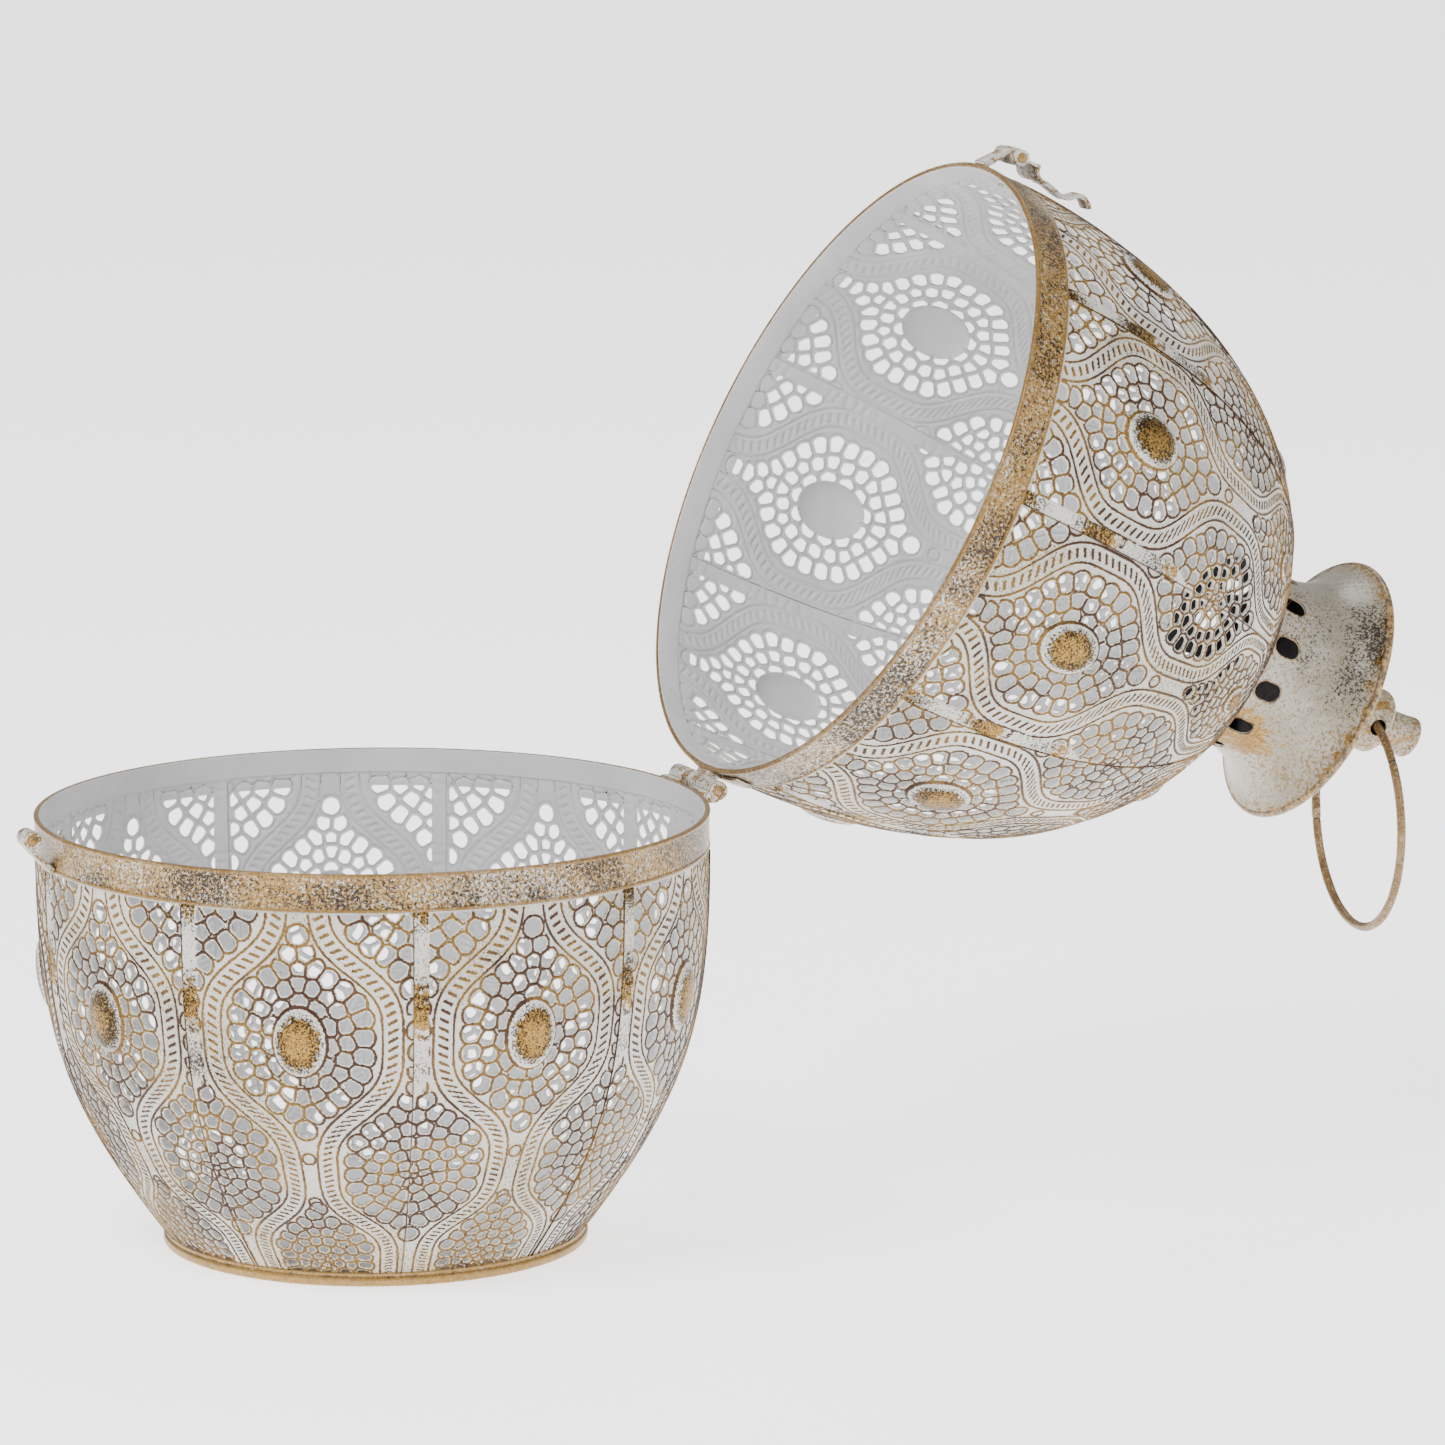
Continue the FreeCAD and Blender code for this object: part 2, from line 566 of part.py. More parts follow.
def carrying_ring():
    """The ring through both holes of the finial, hanging straight down from them."""
    wire = D["ring_wire_radius"]
    radius = D["ring_outer_radius"] - wire
    half_chord = D["finial_radius"] - D["finial_sheet"] / 2
    drop = math.sqrt(radius ** 2 - half_chord ** 2)
    eye = math.radians(D["eye_angle"])
    along = lid_place.Rotation.multVec(Vector(math.cos(eye), math.sin(eye), 0))
    down = Vector(0, 0, -1)
    hang = (down - along * down.dot(along)).normalize()
    centre = lid_place.multVec(Vector(0, 0, eye_z)) + hang * drop
    facing = Rotation(along, hang, along.cross(hang), "XYZ")
    torus = doc.addObject("Part::Torus", "carrying_ring")
    bind(torus, Radius1="Dims.ring_outer_radius - Dims.ring_wire_radius", Radius2="Dims.ring_wire_radius")
    node("carrying_ring", torus, Placement(centre, facing))


# ---------------------------------------------------------------- build
panels("bowl", bowl_outline(), D["bowl_seam_angle"], Placement())
rim_band("bowl_rim_band", "0", Placement(Vector(0, 0, D["bowl_height"] - D["band_height"]), Rotation()))
foot_ring()
base_plate()
panels("lid", dome_outline(), D["lid_seam_angle"], lid_place)
rim_band("lid_rim_band", "Dims.band_web", lid_place)
hinge()
latch()
vent_collar()
crown_plate()
finial()
finial_knob()
carrying_ring()
doc.recompute()


# ---------------------------------------------------------------- check and export
for obj in doc.Objects:
    if "Invalid" in obj.State or "Error" in obj.State:
        raise RuntimeError("%s did not compute: %s" % (obj.Label, obj.State))
for obj in nodes:
    if obj.Shape.isNull() or not obj.Shape.isValid():
        raise RuntimeError("%s has no valid shape" % obj.Label)

os.makedirs("parts", exist_ok=True)
for obj in nodes:
    obj.Shape.exportStep("parts/%s.step" % obj.Label)
print("%d pieces written" % len(nodes))
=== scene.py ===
"""Looks of the hanging lantern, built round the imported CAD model.

Every pierced panel, the rim bands, the foot ring, the vented cap and the carrying
ring are made here as finished sheet metal in place of their plain CAD solids; the
hinge and the latch keep their CAD shapes with softened edges.  Lengths are in
millimetres until a mesh is placed, and every place comes from the frame.
"""
import json
import math

import bpy
import bmesh
import numpy as np
from mathutils import Matrix, Vector


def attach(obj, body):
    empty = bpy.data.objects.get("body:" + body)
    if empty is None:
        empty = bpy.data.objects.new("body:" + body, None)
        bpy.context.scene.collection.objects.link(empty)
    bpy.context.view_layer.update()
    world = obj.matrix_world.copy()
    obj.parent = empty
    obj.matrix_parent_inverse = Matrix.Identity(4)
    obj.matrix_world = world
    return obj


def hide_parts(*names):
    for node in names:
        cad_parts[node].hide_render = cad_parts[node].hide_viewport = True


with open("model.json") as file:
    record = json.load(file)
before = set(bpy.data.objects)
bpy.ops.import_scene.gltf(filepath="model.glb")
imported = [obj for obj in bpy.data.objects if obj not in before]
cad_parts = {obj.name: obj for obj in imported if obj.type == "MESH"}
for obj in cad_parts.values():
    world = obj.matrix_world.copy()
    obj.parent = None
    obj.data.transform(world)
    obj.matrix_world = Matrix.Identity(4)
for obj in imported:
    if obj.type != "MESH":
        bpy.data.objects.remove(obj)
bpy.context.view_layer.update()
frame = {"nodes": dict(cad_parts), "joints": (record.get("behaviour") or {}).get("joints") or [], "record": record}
NODES = frame["nodes"]
JOINTS = {joint["name"]: joint for joint in frame["joints"]}

MM = 0.001
PANELS = 9
SHARE = 2 * math.pi / PANELS


# ---- places
def moved(points, place):
    matrix = np.array(place)
    return points @ matrix[:3, :3].T + matrix[:3, 3]


def cad_points(node, to_local=None):
    """Vertices of a CAD node in millimetres, in the world or in another frame."""
    mesh = NODES[node].data
    points = np.empty(len(mesh.vertices) * 3)
    mesh.vertices.foreach_get("co", points)
    points = points.reshape(-1, 3)
    if to_local is not None:
        points = moved(points, to_local)
    return points / MM


def span(node, axis, to_local=None):
    values = cad_points(node, to_local)[:, axis]
    return values.min(), values.max()


def widest(node, to_local=None):
    points = cad_points(node, to_local)
    return np.hypot(points[:, 0], points[:, 1]).max()


HINGE = Vector(JOINTS["lid_hinge"]["pos_m"])
OPEN_ANGLE = math.radians(JOINTS["lid_hinge"]["range_deg"][1])
RIM_RADIUS = widest("bowl_rim_band")
BAND_LOW, RIM_Z = span("bowl_rim_band", 2)
BAND_HEIGHT = RIM_Z - BAND_LOW
FOOT_RADIUS = widest("foot_ring")
FOOT_HEIGHT = span("foot_ring", 2)[1]
# the hinge axis runs halfway between the two rims
LID_RIM_Z = 2 * HINGE.z / MM - RIM_Z
LID_PLACE = (Matrix.Translation(HINGE) @ Matrix.Rotation(-OPEN_ANGLE, 4, "X")
             @ Matrix.Translation(-HINGE) @ Matrix.Translation((0, 0, LID_RIM_Z * MM)))
TO_LID = LID_PLACE.inverted()
BOWL_PLACE = Matrix.Identity(4)
NECK_RADIUS = np.hypot(*cad_points("vent_collar", TO_LID)[:, :2].T).min() + 0.6
DOME_HEIGHT = 171.0
PANEL_RADIUS = RIM_RADIUS - 0.8
PANEL_THICKNESS = 0.9
# how far the panels reach into the bands
HIDDEN = 6.5
# how much of that shows from inside, past the end of the band's liner
BARE = 4.6
NECK_FOOT, FLARE_TOP = span("vent_collar", 2, TO_LID)
FLARE_RADIUS = widest("vent_collar", TO_LID)


# ---- shading
class Paint:
    """A material under construction; every method adds nodes and returns an output."""

    def __init__(self, name):
        self.material = bpy.data.materials.new(name)
        self.material.use_nodes = True
        self.tree = self.material.node_tree
        self.shader = self.tree.nodes["Principled BSDF"]
        coordinates = self.tree.nodes.new("ShaderNodeTexCoord")
        self.place = coordinates.outputs["Object"]

    def feed(self, socket, value):
        if isinstance(value, bpy.types.NodeSocket):
            self.tree.links.new(value, socket)
        else:
            socket.default_value = value

    def node(self, kind, inputs, output=0, **settings):
        node = self.tree.nodes.new(kind)
        for key, value in settings.items():
            setattr(node, key, value)
        for key, value in inputs.items():
            self.feed(node.inputs[key], value)
        return node.outputs[output]

    def noise(self, size, detail=4.0, roughness=0.6, stretch=None):
        """Noise whose features are about size millimetres across."""
        place = self.place
        if stretch is not None:
            place = self.node("ShaderNodeMapping", {"Vector": place, "Scale": stretch})
        inputs = {"Vector": place, "Scale": 1 / (size * MM), "Detail": detail, "Roughness": roughness}
        return self.node("ShaderNodeTexNoise", inputs)

    def attribute(self, name):
        return self.node("ShaderNodeAttribute", {}, "Fac", attribute_name=name)

    def math(self, operation, first, second):
        return self.node("ShaderNodeMath", {0: first, 1: second}, operation=operation)

    def plus(self, first, second, share=None):
        """first plus second, or plus a share of second."""
        if share is not None:
            second = self.math("MULTIPLY", second, share)
        return self.math("ADD", first, second)

    def ragged(self, value, noise, depth):
        """value with its edge broken up by noise."""
        return self.plus(value, self.math("SUBTRACT", noise, 0.5), depth)

    def ramp(self, value, low, high, out_low=0.0, out_high=1.0):
        """Goes smoothly from out_low to out_high as value goes from low to high."""
        inputs = {"Value": value, "From Min": low, "From Max": high,
                  "To Min": out_low, "To Max": out_high}
        return self.node("ShaderNodeMapRange", inputs, interpolation_type="SMOOTHSTEP")

    def mix(self, share, first, second):
        node = self.tree.nodes.new("ShaderNodeMix")
        node.data_type = "RGBA"
        self.feed(node.inputs[0], share)
        for socket, value in ((node.inputs[6], first), (node.inputs[7], second)):
            self.feed(socket, (*value, 1.0) if isinstance(value, tuple) else value)
        return node.outputs[2]

    def value(self, share, first, second):
        """A number between first and second."""
        return self.ramp(share, 0.0, 1.0, first, second)

    def finish(self, color, roughness, metallic=0.0, bump=None, depth=0.05):
        self.feed(self.shader.inputs["Base Color"], color)
        self.feed(self.shader.inputs["Roughness"], roughness)
        self.feed(self.shader.inputs["Metallic"], metallic)
        if bump is not None:
            inputs = {"Height": bump, "Distance": depth * MM, "Strength": 1.0}
            normal = self.node("ShaderNodeBump", inputs)
            self.feed(self.shader.inputs["Normal"], normal)
        return self.material


WHITE = (0.66, 0.645, 0.60)
WARM_WHITE = (0.56, 0.515, 0.42)
UMBER = (0.010, 0.005, 0.002)
BROWN = (0.055, 0.019, 0.004)
GOLD = (0.235, 0.122, 0.018)
PALE_GOLD = (0.45, 0.27, 0.075)


def panel_paint():
    """Chalky white paint, rubbed through to brown and gold on everything raised."""
    paint = Paint("panel_paint")
    ridge = paint.attribute("ridge")
    rub = paint.attribute("rub")
    dark = paint.attribute("dark")
    cloud = paint.noise(45, 3.0)
    fine = paint.noise(0.9, 3.0, 0.7)
    grain = paint.noise(0.45, 2.0, 0.8)
    wide = paint.noise(2.4, 4.0, 0.7)
    white = paint.mix(paint.ramp(cloud, 0.35, 0.7), WHITE, WARM_WHITE)
    white = paint.mix(paint.ramp(wide, 0.5, 0.75, 0.0, 0.5), white, (0.60, 0.52, 0.39))
    metal = paint.mix(paint.ramp(paint.noise(24, 2.0), 0.42, 0.6), BROWN, GOLD)
    metal = paint.mix(paint.ramp(fine, 0.5, 0.64, 0.0, 0.7), metal, UMBER)
    worn = paint.ragged(ridge, fine, 1.1)
    worn = paint.ramp(worn, 0.22, 0.36)
    color = paint.mix(worn, white, metal)
    # patches rubbed to gold, speckled with dark and white
    patch = paint.ragged(rub, wide, 2.2)
    patch = paint.ramp(patch, 0.42, 0.6)
    gold = paint.mix(paint.ramp(grain, 0.42, 0.6), PALE_GOLD, GOLD)
    gold = paint.mix(paint.ramp(fine, 0.54, 0.62, 0.0, 0.8), gold, BROWN)
    color = paint.mix(patch, color, gold)
    # dark specks, crowded where a mark asks for them and scattered elsewhere
    thin = paint.ramp(cloud, 0.45, 0.66, 0.0, 0.07)
    crowd = paint.plus(thin, dark, 0.17)
    speck = paint.plus(paint.noise(0.8, 3.0, 0.8), crowd)
    speck = paint.ramp(speck, 0.63, 0.66, 0.0, 0.95)
    color = paint.mix(speck, color, UMBER)
    shine = paint.math("MAXIMUM", worn, patch)
    height = paint.plus(fine, ridge, 1.5)
    paint.shader.inputs["Specular IOR Level"].default_value = 0.3
    return paint.finish(color, paint.value(shine, 0.55, 0.4), paint.value(patch, 0.0, 0.6),
                        height, 0.12)


def inner_paint():
    """The plain pale paint inside, with a few specks and scattered grey stains."""
    paint = Paint("inner_paint")
    tone = paint.ramp(paint.noise(35, 3.0), 0.3, 0.7)
    color = paint.mix(tone, (0.66, 0.66, 0.675), (0.57, 0.57, 0.585))
    stain = paint.ramp(paint.noise(3.0, 4.0, 0.7), 0.62, 0.75, 0.0, 0.4)
    color = paint.mix(stain, color, (0.42, 0.41, 0.40))
    speck = paint.ramp(paint.noise(1.4, 1.0), 0.76, 0.79, 0.0, 0.8)
    color = paint.mix(speck, color, (0.12, 0.10, 0.09))
    rough = paint.ramp(paint.noise(6), 0.3, 0.7, 0.42, 0.56)
    return paint.finish(color, rough, 0.0, paint.noise(1.5), 0.03)


def cap_shade_paint():
    """Painted shade: near-black paint for the unlit inside of the cap, seen through its vents."""
    paint = Paint("cap_shade_paint")
    tone = paint.ramp(paint.noise(5), 0.35, 0.65)
    color = paint.mix(tone, (0.022, 0.02, 0.021), (0.04, 0.035, 0.034))
    return paint.finish(color, paint.ramp(paint.noise(2), 0.3, 0.7, 0.6, 0.8))


def band_paint():
    """Antique gold under a fine crust of white, brown and black speckle."""
    paint = Paint("band_paint")
    ridge = paint.attribute("ridge")
    cloud = paint.noise(60, 3.0, 0.6)
    drift = paint.noise(37, 3.0, 0.6)
    fine = paint.noise(1.2, 5.0, 0.85)
    grain = paint.noise(1.05, 4.0, 0.85)
    gold = paint.mix(paint.ramp(paint.noise(1.6, 4.0, 0.8), 0.38, 0.62), GOLD, PALE_GOLD)
    white_cover = paint.plus(fine, paint.ramp(cloud, 0.38, 0.62, -0.05, 0.02))
    color = paint.mix(paint.ramp(white_cover, 0.515, 0.54), gold, WHITE)
    black_cover = paint.plus(grain, paint.ramp(drift, 0.40, 0.62, -0.03, 0.05))
    color = paint.mix(paint.ramp(black_cover, 0.51, 0.53), color, (0.014, 0.006, 0.002))
    color = paint.mix(paint.ramp(ridge, 0.3, 0.8, 0.0, 0.7), color, GOLD)
    shine = paint.ramp(white_cover, 0.5, 0.56, 1.0, 0.0)
    return paint.finish(color, paint.value(shine, 0.5, 0.34), paint.value(shine, 0.0, 0.3), fine, 0.05)


def cap_paint(name="cap_paint", gilt=0.0, soot=0.0):
    """Satin white over gold, scuffed and speckled, gold where it is handled."""
    paint = Paint(name)
    rub = paint.plus(paint.attribute("rub"), gilt)
    dark = paint.plus(paint.attribute("dark"), soot)
    ridge = paint.attribute("ridge")
    cloud = paint.noise(26, 4.0, 0.6)
    fine = paint.noise(1.0, 4.0, 0.8)
    scuff = paint.noise(4.5, 5.0, 0.75, (1.0, 0.35, 1.0))
    white = paint.mix(paint.ramp(cloud, 0.35, 0.65), (0.50, 0.47, 0.40), (0.36, 0.32, 0.24))
    white = paint.mix(paint.ramp(scuff, 0.52, 0.7, 0.0, 0.65), white, (0.56, 0.54, 0.47))
    gold = paint.mix(paint.ramp(fine, 0.4, 0.6), PALE_GOLD, GOLD)
    wear = paint.ragged(rub, scuff, 2.2)
    wear = paint.ramp(wear, 0.42, 0.66)
    color = paint.mix(wear, white, gold)
    fleck = paint.plus(paint.noise(1.3, 4.0, 0.8), rub, 0.08)
    fleck = paint.plus(fleck, paint.ramp(cloud, 0.4, 0.6, 0.03, -0.03))
    color = paint.mix(paint.ramp(fleck, 0.54, 0.58, 0.0, 0.85), color, GOLD)
    crowd = paint.plus(paint.ramp(cloud, 0.45, 0.6, -0.03, 0.06), dark, 0.16)
    speck = paint.plus(fine, crowd)
    color = paint.mix(paint.ramp(speck, 0.64, 0.675, 0.0, 0.95), color, UMBER)
    rim = paint.mix(paint.ramp(paint.noise(2.0, 4.0, 0.8), 0.42, 0.56), PALE_GOLD, BROWN)
    color = paint.mix(paint.ramp(ridge, 0.3, 0.8, 0.0, 0.85), color, rim)
    return paint.finish(color, paint.value(wear, 0.28, 0.34), paint.value(wear, 0.0, 0.4), fine, 0.03)


def fitting_paint():
    """White paint on the hinge and latch, chipped to gold and dark brown."""
    paint = Paint("fitting_paint")
    fine = paint.noise(0.9, 3.0, 0.75)
    cloud = paint.noise(5, 3.0)
    color = paint.mix(paint.ramp(cloud, 0.35, 0.65), WHITE, WARM_WHITE)
    chips = paint.plus(fine, paint.ramp(cloud, 0.4, 0.6, -0.1, 0.12))
    color = paint.mix(paint.ramp(chips, 0.54, 0.6), color, GOLD)
    color = paint.mix(paint.ramp(paint.noise(0.8, 2.0, 0.8), 0.58, 0.64), color, UMBER)
    return paint.finish(color, paint.ramp(fine, 0.3, 0.7, 0.35, 0.5), 0.15, fine, 0.05)


def gold_paint():
    """Bare antique gold: edges, rims and pins."""
    paint = Paint("gold_paint")
    ridge = paint.attribute("ridge")
    fine = paint.noise(0.8, 3.0, 0.75)
    color = paint.mix(paint.ramp(fine, 0.4, 0.6), GOLD, PALE_GOLD)
    color = paint.mix(paint.ramp(paint.noise(2.2, 3.0, 0.7), 0.52, 0.62, 0.0, 0.8), color, BROWN)
    color = paint.mix(paint.ramp(paint.noise(1.1, 4.0, 0.8), 0.56, 0.62, 0.0, 0.8), color, WARM_WHITE)
    color = paint.mix(paint.ramp(ridge, 0.3, 0.9, 0.0, 0.5), color, PALE_GOLD)
    color = paint.mix(paint.ramp(paint.noise(0.6, 2.0, 0.8), 0.6, 0.66), color, UMBER)
    return paint.finish(color, paint.ramp(fine, 0.3, 0.7, 0.3, 0.44), 0.3, fine, 0.04)


def ring_paint():
    """Dull brown gold of the carrying ring."""
    paint = Paint("ring_paint")
    dark = paint.attribute("dark")
    fine = paint.noise(1.1, 4.0, 0.75)
    tone = paint.ramp(paint.noise(9, 3.0), 0.35, 0.65)
    color = paint.mix(tone, (0.17, 0.088, 0.026), (0.30, 0.19, 0.08))
    color = paint.mix(paint.ramp(fine, 0.53, 0.64), color, (0.10, 0.05, 0.02))
    color = paint.mix(paint.ramp(paint.noise(0.9, 2.0, 0.8), 0.60, 0.66, 0.0, 0.9), color, WARM_WHITE)
    color = paint.mix(dark, color, (0.03, 0.018, 0.01))
    return paint.finish(color, paint.ramp(fine, 0.3, 0.7, 0.3, 0.48), 0.25, fine, 0.05)


def floor_paint():
    paint = Paint("floor_paint")
    tone = paint.ramp(paint.noise(400, 2.0), 0.3, 0.7)
    color = paint.mix(tone, (0.985, 0.985, 0.985), (0.975, 0.975, 0.975))
    paint.shader.inputs["Emission Color"].default_value = (1.0, 1.0, 1.0, 1.0)
    paint.shader.inputs["Emission Strength"].default_value = 1.9
    return paint.finish(color, 0.85)


# ---- sheet metal
def bezier(poles, count):
    share = np.linspace(0, 1, count)[:, None]
    poles = np.array(poles, dtype=float)
    rest = 1 - share
    weights = (rest ** 3, 3 * share * rest ** 2, 3 * share ** 2 * rest, share ** 3)
    return sum(weight * pole for weight, pole in zip(weights, poles))


class Profile:
    """The outline of a turned sheet, (radius, height) against distance along it."""

    def __init__(self, points):
        self.points = np.array(points, dtype=float)
        steps = np.hypot(*np.diff(self.points, axis=0).T)
        self.along = np.concatenate([[0], np.cumsum(steps)])
        self.length = self.along[-1]
        tangent = np.gradient(self.points, self.along, axis=0)
        tangent /= np.hypot(*tangent.T)[:, None]
        self.outward = np.stack([-tangent[:, 1], tangent[:, 0]], axis=1)
        self.flipped = self.outward[0, 0] < 0
        if self.flipped:
            self.outward = -self.outward

    def at(self, along, values):
        return np.interp(along, self.along, values)

    def radius(self, along):
        return self.at(along, self.points[:, 0])

    def place(self, along, lift):
        """Radius and height of points lifted square to the sheet."""
        radius = self.at(along, self.points[:, 0]) + lift * self.at(along, self.outward[:, 0])
        height = self.at(along, self.points[:, 1]) + lift * self.at(along, self.outward[:, 1])
        return radius, height


def smooth(value, low, high):
    share = np.clip((value - low) / (high - low), 0, 1)
    return share * share * (3 - 2 * share)


class Sheet:
    """A pierced and embossed piece of a turned sheet, as a closed mesh.

    pattern(across, along) gives, for points across the piece (0 to 1) and along its
    outline (mm), the signed distance to the nearest hole (positive in the metal), the
    signed distance to the nearest crest, the relief outside and inside, and the marks."""

    def __init__(self, profile, pattern, angle, columns, row_step, thickness, closed=False):
        self.profile = profile
        self.closed = closed
        self.thickness = thickness
        self.angle = angle
        rows = int(round(profile.length / row_step)) + 1
        along = np.linspace(0, profile.length, rows)
        across = np.linspace(0, 1, columns + 1)
        self.across, self.along = np.meshgrid(across, along)
        width = profile.radius(self.along) * angle
        step_u = width / columns
        step_s = along[1] - along[0]
        reach = np.maximum(step_u, step_s) / 2
        inner = np.zeros(self.across.shape, bool)
        inner[1:-1, 1:-1] = True
        fields = pattern(self.across, self.along)
        hole = fields["hole"]
        edge = inner & (np.abs(hole) < reach)
        self.snap(hole, edge, width, columns, step_s)
        crest = inner & ~edge & (np.abs(fields["crest"]) < reach) & (hole > 0)
        self.snap(fields["crest"], crest, width, columns, step_s)
        self.solid = edge | (hole > 0)
        marks = pattern(self.across, self.along)
        self.lift = marks["lift"]
        self.dent = marks["dent"]
        self.marks = {name: marks[name] for name in ("ridge", "rub", "dark")}
        self.faces()

    def snap(self, value, chosen, width, columns, step_s):
        """Moves the chosen grid points on to the line where value is nought."""
        slope_s = np.gradient(value, step_s, axis=0)
        slope_u = np.gradient(value, axis=1) * columns / width
        steep = np.maximum(slope_s ** 2 + slope_u ** 2, 0.25)
        move = -value / steep
        limit = 0.75 * step_s
        self.along += np.where(chosen, np.clip(move * slope_s, -limit, limit), 0)
        self.across += np.where(chosen, np.clip(move * slope_u, -limit, limit) / width, 0)

    def faces(self):
        solid = self.solid
        rows, columns = solid.shape
        index = np.arange(rows * columns).reshape(rows, columns)
        corners = np.stack([index[:-1, :-1], index[1:, :-1], index[1:, 1:], index[:-1, 1:]], axis=-1)
        there = solid.ravel()[corners]
        count = there.sum(axis=-1)
        quads = corners[count == 4]
        triangles = corners[count == 3][there[count == 3]].reshape(-1, 3)
        if self.profile.flipped:
            quads = quads[:, ::-1]
            triangles = triangles[:, ::-1]
        used = np.unique(np.concatenate([quads.ravel(), triangles.ravel()]))
        renumber = np.full(rows * columns, -1)
        renumber[used] = np.arange(len(used))
        self.used = used
        self.quads = renumber[quads]
        self.triangles = renumber[triangles]
        edges = []
        for polygon in (self.quads, self.triangles):
            for corner in range(polygon.shape[1]):
                pair = (polygon[:, corner], polygon[:, (corner + 1) % polygon.shape[1]])
                edges.append(np.stack(pair, axis=1))
        edges = np.concatenate(edges)
        total = len(used)
        forward = edges[:, 0] * total + edges[:, 1]
        backward = edges[:, 1] * total + edges[:, 0]
        rim = edges[~np.isin(forward, backward)]
        if self.closed:
            # where a sheet that goes all the way round meets itself there is no edge
            column = used[rim] % columns
            meeting = (column == 0).all(axis=1) | (column == columns - 1).all(axis=1)
            rim = rim[~meeting]
        self.rim = rim

    def points(self, first_angle, lift):
        across = self.across.ravel()[self.used]
        along = self.along.ravel()[self.used]
        radius, height = self.profile.place(along, lift)
        turn = first_angle + across * self.angle
        return np.stack([radius * np.cos(turn), radius * np.sin(turn), height], axis=1)

    def piece(self, name, first_angle, place, outside, inside):
        """The finished mesh object, with its first side edge at first_angle."""
        count = len(self.used)
        lift = self.lift.ravel()[self.used]
        dent = self.dent.ravel()[self.used]
        outer = self.points(first_angle, lift)
        inner = self.points(first_angle, dent - self.thickness)
        points = np.concatenate([outer, inner])
        points = moved(points * MM, place)
        wall = np.stack([self.rim[:, 1], self.rim[:, 0],
                         self.rim[:, 0] + count, self.rim[:, 1] + count], axis=1)
        groups = [self.quads, self.triangles, wall,
                  self.quads[:, ::-1] + count, self.triangles[:, ::-1] + count]
        slots = [0, 0, 0, 1, 1]
        mesh = mesh_from(name, points, groups, slots)
        across = self.across.ravel()[self.used]
        share = (self.along.ravel()[self.used] - self.along.min()) / np.ptp(self.along)
        unwrap(mesh, np.concatenate([0.01 + 0.48 * across, 0.51 + 0.48 * across]),
               np.concatenate([share, share]) * 0.98 + 0.01)
        for mark, values in self.marks.items():
            values = values.ravel()[self.used]
            add_mark(mesh, mark, np.concatenate([values, values * 0]))
        mark_sharp(mesh, np.concatenate([self.rim, self.rim + count]))
        if self.closed:
            mend(mesh, join=1e-6)
        return add_piece(name, mesh, (outside, inside))


def mend(mesh, join=0.0, face_out=False):
    """Joins points nearer than join (metres) and turns the faces outward."""
    shape = bmesh.new()
    shape.from_mesh(mesh)
    if join:
        bmesh.ops.remove_doubles(shape, verts=shape.verts, dist=join)
    if face_out:
        bmesh.ops.recalc_face_normals(shape, faces=shape.faces)
    shape.to_mesh(mesh)
    shape.free()


def add_mark(mesh, name, values):
    """A number for every point, which the materials read."""
    layer = mesh.attributes.new(name, "FLOAT", "POINT")
    layer.data.foreach_set("value", values.astype(np.float32))


def unwrap_grid(mesh, u, v):
    """Lays out a grid of quads; u and v hold the four corners of each row and column."""
    corner = np.stack(np.broadcast_arrays(u[:, None, :], v[None, :, :]), axis=3)
    layer = mesh.uv_layers.new(name="OFBake")
    layer.data.foreach_set("uv", (corner * 0.98 + 0.01).astype(np.float32).ravel())


def mesh_from(name, points, groups, slots):
    """A mesh from a point array and arrays of equal-sided faces, one slot each."""
    mesh = bpy.data.meshes.new(name)
    sides = np.concatenate([np.full(len(group), group.shape[1]) for group in groups])
    corners = np.concatenate([group.ravel() for group in groups])
    starts = np.concatenate([[0], np.cumsum(sides)[:-1]])
    mesh.vertices.add(len(points))
    mesh.vertices.foreach_set("co", points.astype(np.float32).ravel())
    mesh.loops.add(len(corners))
    mesh.loops.foreach_set("vertex_index", corners.astype(np.int32))
    mesh.polygons.add(len(sides))
    mesh.polygons.foreach_set("loop_start", starts.astype(np.int32))
    slot = np.concatenate([np.full(len(group), value) for group, value in zip(groups, slots)])
    mesh.polygons.foreach_set("material_index", slot.astype(np.int32))
    mesh.update(calc_edges=True)
    mesh.shade_smooth()
    return mesh


def unwrap(mesh, across, along):
    layer = mesh.uv_layers.new(name="OFBake")
    corners = np.empty(len(mesh.loops), np.int32)
    mesh.loops.foreach_get("vertex_index", corners)
    places = np.stack([across[corners], along[corners]], axis=1)
    layer.data.foreach_set("uv", places.astype(np.float32).ravel())


def mark_sharp(mesh, pairs):
    """Keeps the edges between the given pairs of points crisp."""
    total = len(mesh.vertices)
    pairs = np.sort(pairs, axis=1)
    edges = np.empty(len(mesh.edges) * 2, np.int32)
    mesh.edges.foreach_get("vertices", edges)
    edges = np.sort(edges.reshape(-1, 2), axis=1).astype(np.int64)
    wanted = pairs[:, 0].astype(np.int64) * total + pairs[:, 1]
    sharp = np.isin(edges[:, 0] * total + edges[:, 1], wanted)
    layer = mesh.attributes.new("sharp_edge", "BOOLEAN", "EDGE")
    layer.data.foreach_set("value", sharp)


def add_object(name, data):
    thing = bpy.data.objects.new(name, data)
    bpy.context.scene.collection.objects.link(thing)
    return thing


def add_piece(name, mesh, materials):
    piece = add_object(name, mesh)
    for material in materials:
        mesh.materials.append(material)
    return piece


def take_over(piece, node, body):
    """Puts a finished piece in the place of a CAD node, on the node's body."""
    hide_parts(node)
    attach(piece, body)


